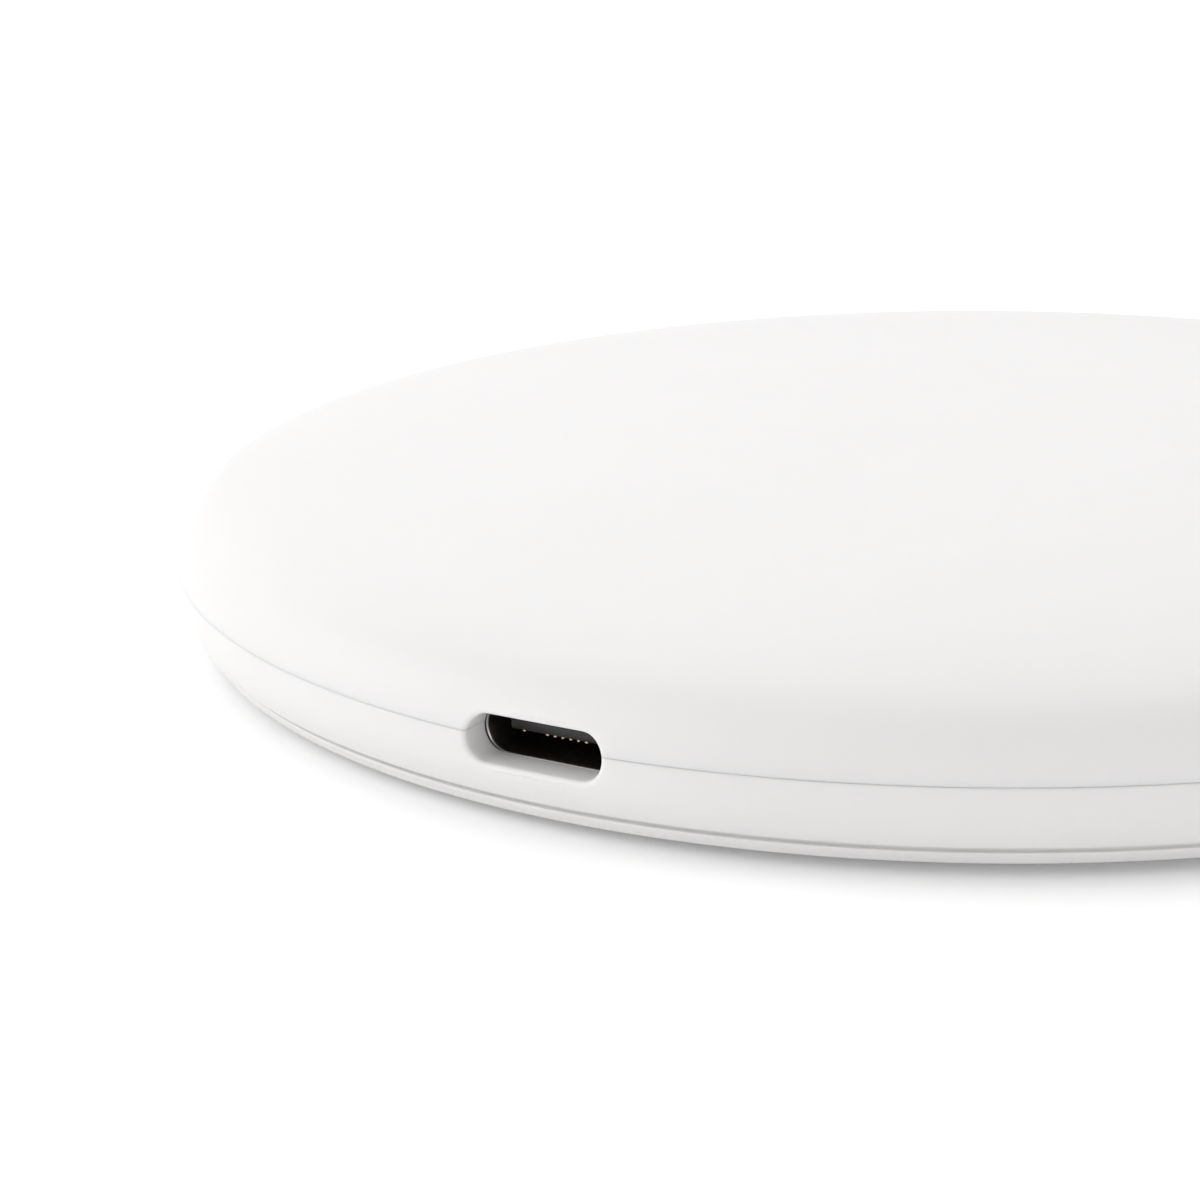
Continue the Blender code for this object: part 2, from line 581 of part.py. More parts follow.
def usb_insulator():
    """Tongue and the slotted block that holds the contacts apart."""
    half_width = SOCKET_WIDTH / 2 - SOCKET_WALL - 0.1
    reach = SOCKET_HEIGHT / 2 - SOCKET_WALL - 0.1
    bed = TONGUE_HALF - 0.05
    end = reach
    comb = []
    for centre in CONTACT_PLACES:
        comb += [(centre - 0.17, reach), (centre - 0.17, bed), (centre + 0.17, bed), (centre + 0.17, reach)]
    turn = [radians(80 - 20 * i) for i in range(9)]
    right = [(half_width - end + end * cos(a), end * sin(a)) for a in turn]
    outline = comb + right + [(-x, -z) for x, z in comb] + [(-x, -z) for x, z in right]
    block = bmesh.new()
    add_loft(block, [[(x, y, PORT_Z + z) for x, z in outline] for y in (TONGUE_ROOT, SOCKET_BACK)])
    piece = finish(block, "usb_insulator", BLACK_RESIN, smooth=False)
    tongue = bmesh.new()
    tip = ((TONGUE_ROOT + 0.5, 0.0), (TONGUE_FRONT + 0.25, 0.0), (TONGUE_FRONT, 0.14))
    rings = []
    for y, inset in tip:
        x, z = TONGUE_WIDTH / 2 - inset, TONGUE_HALF - inset
        rings.append([(a * x, y, PORT_Z + b * z) for a, b in ((-1, -1), (1, -1), (1, 1), (-1, 1))])
    add_loft(tongue, rings)
    combine(piece, finish(tongue, "tongue"), "UNION")


def usb_contacts():
    """Blades above and below the tongue, from its tip to the board's two faces."""
    level = TONGUE_HALF + 0.13
    front = TONGUE_FRONT + 0.4
    for row, side in (("upper", 1), ("lower", -1)):
        for number, x in enumerate(CONTACT_PLACES, 1):
            bm = bmesh.new()
            size = (0.22, CONTACT_BACK - front, CONTACT_THICK)
            add_block(bm, (x, (front + CONTACT_BACK) / 2), size, PORT_Z + side * level - CONTACT_THICK / 2)
            finish(bm, f"usb_contact_{row}_{number}", GOLD, smooth=False)


# ---- board ----

def arc(radius, start, end, count):
    return [polar(radius, start + (end - start) * i / (count - 1)) for i in range(count)]


def circuit_board():
    """Crescent board with a notch for the socket, and holes for its screws and the socket's legs."""
    notch_bearing = degrees(atan2(NOTCH_HALF, sqrt(BOARD_OUTER ** 2 - NOTCH_HALF ** 2)))
    outline = arc(BOARD_OUTER, -BOARD_SPREAD, -notch_bearing, 9)
    outline += [(-NOTCH_HALF, NOTCH_BACK), (NOTCH_HALF, NOTCH_BACK)]
    outline += arc(BOARD_OUTER, notch_bearing, BOARD_SPREAD, 9)
    outline += arc(BOARD_INNER, BOARD_SPREAD, -BOARD_SPREAD, 13)
    bm = bmesh.new()
    add_prism(bm, outline, BOARD_BOTTOM, BOARD_TOP)
    board = finish(bm, "circuit_board", BOARD_GREEN, smooth=False)
    combine(board, posts("board_holes", BOARD_SCREW_PLACES, 1.05, 4.0, 7.0, HOLE_SEGMENTS), "DIFFERENCE")
    slots = bmesh.new()
    for side, y in LEG_PLACES:
        place = (side * (LEG_REACH - LEG_THICK / 2), y)
        add_block(slots, place, (LEG_THICK + 2 * GAP, LEG_WIDTH + 2 * GAP, 3.0), 4.0)
    combine(board, finish(slots, "leg_slots"), "DIFFERENCE")


def board_screws():
    screws("board_screw", BOARD_SCREW_PLACES, *BOARD_SCREW_SIZES)


# name, look, block size (along, across, high), chamfer, then (radius, bearing, turn) for each one
COMPONENTS = (
    ("controller_chip", BLACK_RESIN, (6.0, 6.0, 0.9), 0.06, ((38.0, -14.0, 0.0),)),
    ("power_bridge_chip", BLACK_RESIN, (5.0, 5.0, 0.9), 0.06, ((37.6, 12.0, 0.0), (37.6, 22.5, 0.0))),
    ("resonance_capacitor", CERAMIC, (3.2, 2.5, 1.8), 0.12,
     ((37.8, 38.0, 0.0), (41.0, 37.6, 0.0), (44.2, 37.3, 0.0), (45.6, 32.6, 0.0))),
    ("bulk_capacitor", TANTALUM, (7.3, 4.3, 1.9), 0.15, ((42.4, -31.0, 0.0),)),
    ("input_capacitor", CERAMIC, (3.2, 1.6, 1.2), 0.1,
     ((44.6, 12.6, 90.0), (44.6, -12.6, 90.0), (42.0, 15.6, 90.0))),
    ("power_inductor", GREY_MOULDING, (5.2, 5.2, 2.3), 0.4, ((42.8, 26.4, 0.0),)),
    ("crystal", STEEL, (3.2, 2.5, 0.8), 0.2, ((37.0, -23.6, 0.0),)),
    ("current_sense_resistor", BLACK_RESIN, (3.2, 1.6, 0.55), 0.05, ((33.4, 20.0, 0.0),)),
)


def components():
    for name, look, size, chamfer, places in COMPONENTS:
        for number, (radius, bearing, turn) in enumerate(places, 1):
            bm = bmesh.new()
            add_block(bm, polar(radius, bearing), size, BOARD_TOP + SOLDER_GAP, bearing + turn, chamfer)
            finish(bm, name if len(places) == 1 else f"{name}_{number}", look, smooth=False)


def coil_solder_joints():
    """Solder fillets beyond the ends of the two leads."""
    bottom = BOARD_TOP + SOLDER_GAP
    for number, (x, y, z) in enumerate((lead_in_points()[0], lead_out_points()[-1]), 1):
        bm = bmesh.new()
        outline = [(0, bottom), (1.0, bottom), (0.8, bottom + 0.45), (0.4, bottom + 0.85), (0, bottom + 0.95)]
        add_turned(bm, outline, HOLE_SEGMENTS, (x, y - 1.15))
        finish(bm, f"coil_solder_joint_{number}", SOLDER)


def build():
    clear_scene()
    port = port_cutter()
    pocket = pocket_cutter()
    upper_shell(port, pocket)
    lower_shell(port, pocket)
    base_plate()
    foot_ring()
    base_adhesive()
    shell_screws()
    coil_tray()
    tray_screws()
    ferrite_adhesive()
    ferrite_plate()
    coil_adhesive()
    coil_winding()
    coil_lead_sleeves()
    thermistor()
    usb_shell()
    usb_insulator()
    usb_contacts()
    circuit_board()
    board_screws()
    components()
    coil_solder_joints()


build()
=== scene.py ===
from math import atan2, cos, exp, log, pi, radians, sin, sqrt

import bmesh
import bpy
import numpy as np
from mathutils import Matrix, Vector


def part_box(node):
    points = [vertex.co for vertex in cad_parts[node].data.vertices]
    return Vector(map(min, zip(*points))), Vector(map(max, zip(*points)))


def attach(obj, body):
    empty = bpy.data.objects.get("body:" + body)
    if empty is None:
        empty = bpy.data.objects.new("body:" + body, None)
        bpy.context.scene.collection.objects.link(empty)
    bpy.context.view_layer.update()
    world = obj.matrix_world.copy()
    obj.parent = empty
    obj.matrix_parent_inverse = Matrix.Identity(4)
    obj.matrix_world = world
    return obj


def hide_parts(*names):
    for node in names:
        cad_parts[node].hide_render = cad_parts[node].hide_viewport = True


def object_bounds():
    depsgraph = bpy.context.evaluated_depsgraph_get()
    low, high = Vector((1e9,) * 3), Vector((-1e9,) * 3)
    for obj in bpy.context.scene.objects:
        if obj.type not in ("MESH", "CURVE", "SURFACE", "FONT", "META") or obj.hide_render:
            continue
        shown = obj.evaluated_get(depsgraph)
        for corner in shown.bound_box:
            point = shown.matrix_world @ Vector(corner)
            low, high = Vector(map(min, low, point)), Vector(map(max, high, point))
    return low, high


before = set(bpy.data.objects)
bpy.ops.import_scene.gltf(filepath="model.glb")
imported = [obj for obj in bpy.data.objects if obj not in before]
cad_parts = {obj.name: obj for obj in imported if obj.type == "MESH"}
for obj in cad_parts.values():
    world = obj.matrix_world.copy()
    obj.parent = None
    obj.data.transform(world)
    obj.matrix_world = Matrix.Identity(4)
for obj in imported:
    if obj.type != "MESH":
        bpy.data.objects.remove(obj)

CAD_BOX = [list(corner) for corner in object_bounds()]
MM = 0.001

# ---- sizes, in millimetres; the seam and the groove above the lip are tighter than the CAD's ----

PAD_RADIUS = max(abs(v) for corner in CAD_BOX for v in corner[:2]) / MM
CROWN_HEIGHT = CAD_BOX[1][2] / MM
WALL = 1.4
# (degrees that the surface faces above level, bend radius) from the crown down, before scaling to the pad
OUTLINE_BENDS = ((90, 860), (82, 71), (72, 7.6), (60, 2.8), (40, 4.2),
                 (16, 5.9), (-12, 3.8), (-35, 6.3), (-70, 15.5))
SEAM_TOP = 5.4              # the visible seam is a hairline between two rounded edges
SEAM_BOTTOM = 5.385
SEAM_ROUND_ABOVE, SEAM_ROUND_BELOW = 0.02, 0.16
SHOULDER_TOP = 9.4          # below it the outline bends more, and the bosses reach up to it
LOWER_EDGE, LOWER_EDGE_ROUND = 1.78, 0.16
FLOOR_TOP, FLOOR_FILLET = 2.98, 0.7
UNDERSIDE, UNDERSIDE_RADIUS = 2.2, 50.55
HUB_RADIUS = 50.4
LIP_TOP, LIP_SEAT, LIP_THICKNESS = 6.2, 5.47, 1.0   # the lower shell's lip stands inside the upper shell
FIT = 0.3                   # gap between mating pieces
PORT_Z = 5.11
PORT_WIDTH, PORT_HEIGHT = 8.58, 2.66
RIM_ROUND = 0.32            # rounded edge of the port's mouth
PORT_CUT_BACK = -45.5
SOCKET_WIDTH, SOCKET_HEIGHT, SOCKET_WALL = 8.94, 3.26, 0.3
SOCKET_STOP = 0.12          # the wall round the port ends this far before the socket
POCKET_BACK = -46.0
COLLAR_HALF, COLLAR_FRONT, COLLAR_BOTTOM, COLLAR_TOP = 5.6, -51.0, 2.7, 7.0
LIP_GAP_HALF, LIP_GAP_BACK = 5.9, -48.5
BOARD_BOTTOM, BOARD_TOP = 4.71, 5.51

TRAY_BOTTOM, TRAY_FLOOR, TRAY_RIM = 4.65, 5.65, 8.3
TRAY_RADIUS, TRAY_INNER = 27.0, 25.6
FOOT_INNER = 39.0

TURN_STEPS = 480            # segments round the pad


def node_box(name):
    """A node's lowest and highest corners in millimetres."""
    low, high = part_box(name)
    return Vector(low) / MM, Vector(high) / MM


def centre_of(name):
    """A node's middle, seen from above."""
    low, high = node_box(name)
    return ((low.x + high.x) / 2, (low.y + high.y) / 2)


SHELL_SCREWS = [centre_of(f"shell_screw_{i}") for i in range(1, 5)]
TRAY_SCREWS = [centre_of(f"tray_screw_{i}") for i in range(1, 4)]
BOARD_SCREWS = [centre_of(f"board_screw_{i}") for i in range(1, 5)]
SOCKET_FRONT, SOCKET_BACK = (corner.y for corner in node_box("usb_shell"))


# ---- camera, first ----

CAMERA_DISTANCE = 201.45    # from the point on the pad's axis that the bearing and elevation are about
AXIS_POINT_HEIGHT = 0.5
LENS, SENSOR = 90.0, 36.0
CAMERA_BEARING, CAMERA_ELEVATION = 25.9, 16.58
CAMERA_PAN, CAMERA_DIP, CAMERA_ROLL = 7.29, 16.83, -1.52


def add_camera():
    """A long lens some 58 mm above the table, to the right of the socket."""
    data = bpy.data.cameras.new("camera")
    data.sensor_width = SENSOR
    data.lens = LENS
    data.clip_start = 0.005
    camera = bpy.data.objects.new("camera", data)
    bpy.context.scene.collection.objects.link(camera)
    bearing, elevation = radians(CAMERA_BEARING), radians(CAMERA_ELEVATION)
    flat, rise = CAMERA_DISTANCE * cos(elevation), CAMERA_DISTANCE * sin(elevation)
    place = Vector((flat * sin(bearing), -flat * cos(bearing), rise + AXIS_POINT_HEIGHT)) * MM
    heading, dip, roll = bearing + radians(CAMERA_PAN), radians(CAMERA_DIP), radians(CAMERA_ROLL)
    forward = Vector((-sin(heading) * cos(dip), cos(heading) * cos(dip), -sin(dip)))
    level = forward.cross(Vector((0, 0, 1))).normalized()
    upright = level.cross(forward)
    right = cos(roll) * level + sin(roll) * upright
    up = -sin(roll) * level + cos(roll) * upright
    turn = Matrix((right, up, -forward)).transposed()
    camera.matrix_world = Matrix.Translation(place) @ turn.to_4x4()
    bpy.context.scene.camera = camera


add_camera()


# ---- outline ----

def bend_radius(facing):
    """Radius of the outline's bend where the surface faces this many degrees above level."""
    for (high, r_high), (low, r_low) in zip(OUTLINE_BENDS, OUTLINE_BENDS[1:]):
        if facing >= low:
            share = (high - facing) / (high - low)
            return exp(log(r_high) + share * (log(r_low) - log(r_high)))
    return OUTLINE_BENDS[-1][1]


def pad_outline():
    """Array of (radius, height, facing) from the crown's middle down to the last bend."""
    fine = 0.1              # degrees per step
    points = [(0.0, 0.0, 90.0)]
    facing = 90.0
    while facing > OUTLINE_BENDS[-1][0]:
        middle = facing - fine / 2
        length = bend_radius(middle) * radians(fine)
        r, z, _ = points[-1]
        facing -= fine
        points.append((r + length * sin(radians(middle)), z - length * cos(radians(middle)), facing))
    table = np.array(points)
    scale = PAD_RADIUS / table[:, 0].max()
    table[:, :2] *= scale
    table[:, 1] += CROWN_HEIGHT
    return table


OUTLINE = pad_outline()


def outline_at(height):
    """(radius, facing) of the outline at this height, for a height or an array of them."""
    heights, radii, facing = OUTLINE[::-1, 1], OUTLINE[::-1, 0], OUTLINE[::-1, 2]
    return np.interp(height, heights, radii), np.interp(height, heights, facing)


def outline_run(high, low, step, inset=0.0):
    """Points (radius, height) along the outline between two heights, about step apart."""
    inside = (OUTLINE[:, 1] < high) & (OUTLINE[:, 1] > low)
    r_high, f_high = outline_at(high)
    r_low, f_low = outline_at(low)
    table = np.vstack([(r_high, high, f_high), OUTLINE[inside], (r_low, low, f_low)])
    travel = np.concatenate([[0], np.cumsum(np.hypot(np.diff(table[:, 0]), np.diff(table[:, 1])))])
    count = max(2, round(travel[-1] / step))
    even = np.linspace(0, travel[-1], count + 1)
    r, z, f = (np.interp(even, travel, table[:, k]) for k in range(3))
    f = np.radians(f)
    return list(zip(np.maximum(r - inset * np.cos(f), 0.0), z - inset * np.sin(f)))


def rounded(corner, before, after, radius, steps=4):
    """Points round a corner of an outline, from the before side to the after side."""
    corner, before, after = Vector(corner), Vector(before), Vector(after)
    a, b = (before - corner).normalized(), (after - corner).normalized()
    half = a.angle(b) / 2
    reach = radius / np.tan(half)
    middle = corner + (a + b).normalized() * radius / sin(half)
    start, end = corner + a * reach - middle, corner + b * reach - middle
    points = []
    for i in range(steps + 1):
        share = i / steps
        mixed = start.lerp(end, share).normalized() * radius
        points.append(tuple(middle + mixed))
    return points


def soften(outline, radii, steps=4):
    """Rounds the corners of an open or closed outline whose radius isn't None."""
    points = []
    count = len(outline)
    for i, (point, radius) in enumerate(zip(outline, radii)):
        if not radius:
            points.append(point)
            continue
        points += rounded(point, outline[i - 1], outline[(i + 1) % count], radius, steps)
    return points


# ---- mesh helpers; every shape is made in millimetres and stored in metres ----

def new_piece(name, mesh, look, replaced=(), sharp=35.0):
    """Links a mesh as a piece of the pad, on the one body, in place of CAD nodes."""
    piece = bpy.data.objects.new(name, mesh)
    bpy.context.scene.collection.objects.link(piece)
    mesh.materials.clear()
    mesh.materials.append(look)
    mesh.shade_smooth()
    if sharp:
        mesh.set_sharp_from_angle(angle=radians(sharp))
    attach(piece, "root")
    if replaced:
        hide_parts(*replaced)
    return piece


def mesh_of(bm, name):
    """Stores a bmesh drawn in millimetres as a mesh, with its faces outwards."""
    bmesh.ops.recalc_face_normals(bm, faces=bm.faces)
    bmesh.ops.scale(bm, vec=(MM, MM, MM), verts=bm.verts)
    mesh = bpy.data.meshes.new(name)
    bm.to_mesh(mesh)
    bm.free()
    return mesh


def full_turn(count):
    """This many evenly spread angles."""
    return [2 * pi * i / count for i in range(count)]


def add_turned(bm, outline, segments, centre=(0.0, 0.0)):
    """Revolves a closed (radius, height) outline about a vertical axis."""
    x, y = centre
    around = [(cos(a), sin(a)) for a in full_turn(segments)]
    rings = []
    for radius, height in outline:
        if radius < 1e-6:
            rings.append([bm.verts.new((x, y, height))])
        else:
            rings.append([bm.verts.new((x + radius * c, y + radius * s, height)) for c, s in around])
    for ring, following in zip(rings, rings[1:] + rings[:1]):
        if len(ring) == 1 and len(following) == 1:
            continue
        for i in range(segments):
            j = (i + 1) % segments
            corners = [ring[i % len(ring)], ring[j % len(ring)]]
            corners += [following[j % len(following)], following[i % len(following)]]
            bm.faces.new(list(dict.fromkeys(corners)))


def add_loft(bm, rings, closed=False):
    """Closed solid through rings of equal length: capped, or joined end to end."""
    made = [[bm.verts.new(point) for point in ring] for ring in rings]
    pairs = list(zip(made, made[1:]))
    if closed:
        pairs.append((made[-1], made[0]))
    for ring, following in pairs:
        for i in range(len(ring)):
            j = (i + 1) % len(ring)
            bm.faces.new((ring[i], ring[j], following[j], following[i]))
    if not closed:
        bm.faces.new(made[0])
        bm.faces.new(made[-1])


def tool(bm, name):
    """An object that only cuts or joins, and is removed afterwards."""
    thing = bpy.data.objects.new(name, mesh_of(bm, name))
    bpy.context.scene.collection.objects.link(thing)
    return thing


def combined(mesh, steps):
    """The mesh after Boolean steps of (object, operation), applied in order."""
    work = bpy.data.objects.new("work", mesh)
    bpy.context.scene.collection.objects.link(work)
    for thing, operation in steps:
        modifier = work.modifiers.new(thing.name, "BOOLEAN")
        modifier.solver = "EXACT"
        modifier.operation = operation
        modifier.object = thing
    graph = bpy.context.evaluated_depsgraph_get()
    result = bpy.data.meshes.new_from_object(work.evaluated_get(graph))
    bpy.data.objects.remove(work)
    return result


def discard(things):
    """Removes tools that have done their work."""
    for thing in things:
        bpy.data.objects.remove(thing)


def carved(mesh, joins=(), cuts=()):
    """The mesh with tools joined to it and others cut from it; the tools are used up."""
    result = combined(mesh, [(thing, "UNION") for thing in joins] + [(thing, "DIFFERENCE") for thing in cuts])
    discard((*cuts, *joins))
    return result


def block_tool(name, low, high):
    """A plain block between two corners."""
    bm = bmesh.new()
    corners = [(low[0], low[1]), (high[0], low[1]), (high[0], high[1]), (low[0], high[1])]
    add_loft(bm, [[(x, y, z) for x, y in corners] for z in (low[2], high[2])])
    return tool(bm, name)


def post_tool(name, places, radius, bottom, top, segments=40):
    """The same upright rod at several places."""
    bm = bmesh.new()
    for place in places:
        add_turned(bm, [(0, bottom), (radius, bottom), (radius, top), (0, top)], segments, place)
    return tool(bm, name)


def turned_piece(name, outline, radii, look, cuts=(), joins=(), segments=240):
    """A turned part in place of the CAD node of the same name."""
    bm = bmesh.new()
    add_turned(bm, soften(outline, radii), segments)
    mesh = mesh_of(bm, name)
    if cuts or joins:
        mesh = carved(mesh, joins, cuts)
    new_piece(f"visible_{name}", mesh, look, (name,))


def rounded_box(width, depth, corner, steps=3):
    """Outline of a rectangle with rounded corners."""
    points = []
    for quarter, (a, b) in enumerate(((1, 1), (-1, 1), (-1, -1), (1, -1))):
        middle = (a * (width / 2 - corner), b * (depth / 2 - corner))
        for i in range(steps + 1):
            angle = pi / 2 * (quarter + i / steps)
            points.append((middle[0] + corner * cos(angle), middle[1] + corner * sin(angle)))
    return points


def turned_about(centre, turn, x, y):
    """Place of a point that lies (x, y) from the centre before a turn in degrees."""
    c, s = cos(radians(turn)), sin(radians(turn))
    return (centre[0] + x * c - y * s, centre[1] + x * s + y * c)


def add_slab(bm, centre, size, bottom, turn=0.0, corner=0.1, edge=0.05):
    """Upright block with rounded corners and softened edges, turned about its own vertical axis."""
    width, depth, height = size
    top = bottom + height
    part = edge * 0.3
    profile = ((part, bottom), (0, bottom + part), (0, top - edge), (part, top - part), (edge, top))
    rings = []
    for inset, z in profile:
        flat = rounded_box(width - 2 * inset, depth - 2 * inset, max(corner - inset, 0.01))
        rings.append([(*turned_about(centre, turn, x, y), z) for x, y in flat])
    add_loft(bm, rings)


def obround(width, height, per_end=24):
    """Outline of a slot with round ends: (x, z, outward x, outward z)."""
    end = height / 2
    reach = width / 2 - end
    turn = [pi * i / per_end - pi / 2 for i in range(per_end + 1)]
    right = [(reach + end * cos(a), end * sin(a), cos(a), sin(a)) for a in turn]
    left = [(-x, -z, -nx, -nz) for x, z, nx, nz in right]
    return right + left


def wall_y(x, z):
    """Y of the pad's outer surface in front of the socket."""
    radius = outline_at(z)[0]
    return -sqrt(radius * radius - x * x)


# ---- materials ----

class Recipe:
    """A Principled material and short calls for the nodes that feed it."""

    def __init__(self, name, colour, roughness, metallic=0.0, **sockets):
        self.material = bpy.data.materials.new(name)
        self.material.use_nodes = True
        self.nodes = self.material.node_tree.nodes
        self.links = self.material.node_tree.links
        self.shader = self.nodes["Principled BSDF"]
        self.shader.inputs["Base Color"].default_value = (*colour, 1.0)
        self.shader.inputs["Roughness"].default_value = roughness
        self.shader.inputs["Metallic"].default_value = metallic
        for socket, value in sockets.items():
            self.shader.inputs[socket.replace("_", " ")].default_value = value
        self.material.diffuse_color = (*colour, 1.0)

    def node(self, kind, settings=None, **inputs):
        """A new node; an input given as an output socket is linked, any other is set."""
        made = self.nodes.new(kind)
        for key, value in (settings or {}).items():
            setattr(made, key, value)
        for key, value in inputs.items():
            target = made.inputs[key.replace("_", " ")]
            if hasattr(value, "is_output"):
                self.links.new(value, target)
            else:
                target.default_value = value
        return made

    def place(self):
        """Coordinates in metres, from the texture node's object output."""
        return self.node("ShaderNodeTexCoord").outputs["Object"]

    def noise(self, grain_mm, detail=2.0, stretch=(1.0, 1.0, 1.0), rough=0.5):
        """Noise whose features are about this many millimetres across."""
        mapped = self.node("ShaderNodeMapping", Vector=self.place(), Scale=stretch)
        made = self.node("ShaderNodeTexNoise", Vector=mapped.outputs["Vector"], Scale=1.0 / (grain_mm * MM),
                         Detail=detail, Roughness=rough)
        return made.outputs["Fac"]

    def ramp(self, factor, stops):
        """Colour ramp through (position, colour or grey) stops."""
        made = self.node("ShaderNodeValToRGB", Fac=factor)
        elements = made.color_ramp.elements
        while len(elements) < len(stops):
            elements.new(0.5)
        for element, (position, value) in zip(elements, stops):
            element.position = position
            grey = (value, value, value) if isinstance(value, (int, float)) else value
            element.color = (*grey, 1.0)
        return made.outputs["Color"]

    def colour(self, source):
        """Feeds the base colour."""
        self.links.new(source, self.shader.inputs["Base Color"])

    def roughness(self, factor, low, high):
        """Lets a factor move the roughness between two values."""
        made = self.node("ShaderNodeMapRange", Value=factor, To_Min=low, To_Max=high)
        self.links.new(made.outputs["Result"], self.shader.inputs["Roughness"])

    def bump(self, height, depth_mm, strength=1.0):
        """Bump of this depth; several calls stack."""
        made = self.node("ShaderNodeBump", Height=height, Strength=strength, Distance=depth_mm * MM)
        socket = self.shader.inputs["Normal"]
        if socket.links:
            self.links.new(socket.links[0].from_socket, made.inputs["Normal"])
        self.links.new(made.outputs["Normal"], socket)


def shade(colour, factor):
    """The colour made darker or lighter by a factor."""
    return tuple(min(1.0, channel * factor) for channel in colour)


def mottled(recipe, colour, grain_mm, spread, **noise):
    """Slow colour variation about a colour."""
    stops = [(0.3, shade(colour, 1 - spread)), (0.7, shade(colour, 1 + spread))]
    recipe.colour(recipe.ramp(recipe.noise(grain_mm, **noise), stops))


def surface(name, colour, roughness, metallic=0.0, grain=0.3, spread=0.05, depth=0.004, **sockets):
    """A material whose colour, gloss and relief vary over a grain of this many millimetres."""
    recipe = Recipe(name, colour, roughness, metallic, **sockets)
    mottled(recipe, colour, grain * 4, spread, detail=3.0)
    recipe.roughness(recipe.noise(grain * 2), roughness * 0.85, min(1.0, roughness * 1.15))
    recipe.bump(recipe.noise(grain), depth)
    return recipe.material


def white_moulding():
    """Matt white moulding with a fine spark-eroded grain."""
    colour = (0.705, 0.695, 0.692)
    recipe = Recipe("white_moulding", colour, 0.5, IOR=1.49, Specular_IOR_Level=0.25, Subsurface_Weight=0.4,
                    Subsurface_Radius=(1.0, 0.92, 0.86), Subsurface_Scale=0.0011)
    mottled(recipe, colour, 14.0, 0.006)
    recipe.roughness(recipe.noise(1.6, detail=3.0), 0.44, 0.56)
    recipe.bump(recipe.noise(0.11, detail=3.0, rough=0.6), 0.0035)
    recipe.bump(recipe.noise(7.0, detail=1.0), 0.004)
    return recipe.material


def silicone():
    """Soft grey-white rubber with a faint grain."""
    colour = (0.62, 0.62, 0.61)
    recipe = Recipe("silicone_foot", colour, 0.7, Subsurface_Weight=0.1, Sheen_Weight=0.15)
    mottled(recipe, colour, 5.0, 0.02)
    recipe.bump(recipe.noise(0.25, detail=3.0), 0.01)
    return recipe.material


def tape():
    """Off-white double-sided tape with fibres along one direction."""
    colour = (0.80, 0.79, 0.74)
    recipe = Recipe("tape", colour, 0.8)
    mottled(recipe, colour, 1.2, 0.05, detail=4.0)
    recipe.bump(recipe.noise(0.2, detail=3.0, stretch=(1.0, 0.3, 1.0)), 0.01)
    return recipe.material


def steel():
    """Zinc-plated steel with faint scratches."""
    colour = (0.62, 0.61, 0.59)
    recipe = Recipe("screw_steel", colour, 0.3, 1.0)
    mottled(recipe, colour, 0.8, 0.06)
    scratches = recipe.noise(0.15, detail=3.0, stretch=(1.0, 1.0, 6.0))
    recipe.roughness(scratches, 0.22, 0.42)
    recipe.bump(scratches, 0.004)
    return recipe.material


def nickel_with_painted_shade():
    """Nickel plate with fine marks from drawing, its colour darkened as painted shade for the inside of the
    port.
    """
    # painted shade: the plate's colour is much darker than bare nickel, standing for the shade deep in the
    # socket
    colour = (0.30, 0.275, 0.26)
    recipe = Recipe("nickel_plate_painted_shade", colour, 0.3, 1.0)
    mottled(recipe, colour, 1.5, 0.05)
    recipe.roughness(recipe.noise(0.4, detail=3.0, stretch=(1.0, 0.2, 1.0)), 0.22, 0.38)
    recipe.bump(recipe.noise(0.15, stretch=(1.0, 0.15, 1.0)), 0.003)
    return recipe.material


def solder_mask():
    """Green solder mask with faint tracks under it."""
    colour = (0.02, 0.14, 0.07)
    recipe = Recipe("solder_mask", colour, 0.35, Coat_Weight=0.3)
    wave = recipe.node("ShaderNodeTexWave", {"bands_direction": "DIAGONAL"}, Vector=recipe.place(),
                       Scale=520.0, Distortion=1.5, Detail=1.0)
    tracks = recipe.ramp(wave.outputs["Fac"], [(0.45, 0.0), (0.55, 1.0)])
    recipe.colour(recipe.ramp(tracks, [(0.0, shade(colour, 0.8)), (1.0, shade(colour, 1.35))]))
    recipe.roughness(recipe.noise(0.6), 0.28, 0.42)
    recipe.bump(tracks, 0.02)
    return recipe.material


WHITE = white_moulding()
TAPE = tape()
STEEL = steel()
RESIN = surface("black_resin", (0.02, 0.02, 0.022), 0.5, grain=0.12, spread=0.2)
CERAMIC = surface("ceramic", (0.55, 0.42, 0.30), 0.45, grain=0.15, spread=0.08)
AMBER = surface("tantalum_resin", (0.60, 0.42, 0.08), 0.45, grain=0.2)
POWDER = surface("pressed_powder", (0.09, 0.09, 0.095), 0.7, grain=0.1, spread=0.25, depth=0.015)
LID = surface("crystal_lid", (0.62, 0.61, 0.59), 0.25, 1.0, grain=0.3)
TIN = surface("tinned", (0.70, 0.70, 0.69), 0.25, 1.0, grain=0.2, spread=0.06, depth=0.008)
MARK = surface("polarity_mark", (0.30, 0.16, 0.04), 0.5)


# ---- enclosure ----

BOSS_RADIUS = 2.6
PILOT_RADIUS, PILOT_FROM, PILOT_TO = 1.25, 4.0, 8.5
POST_FOOT = FLOOR_TOP - 0.38        # the posts start inside the floor
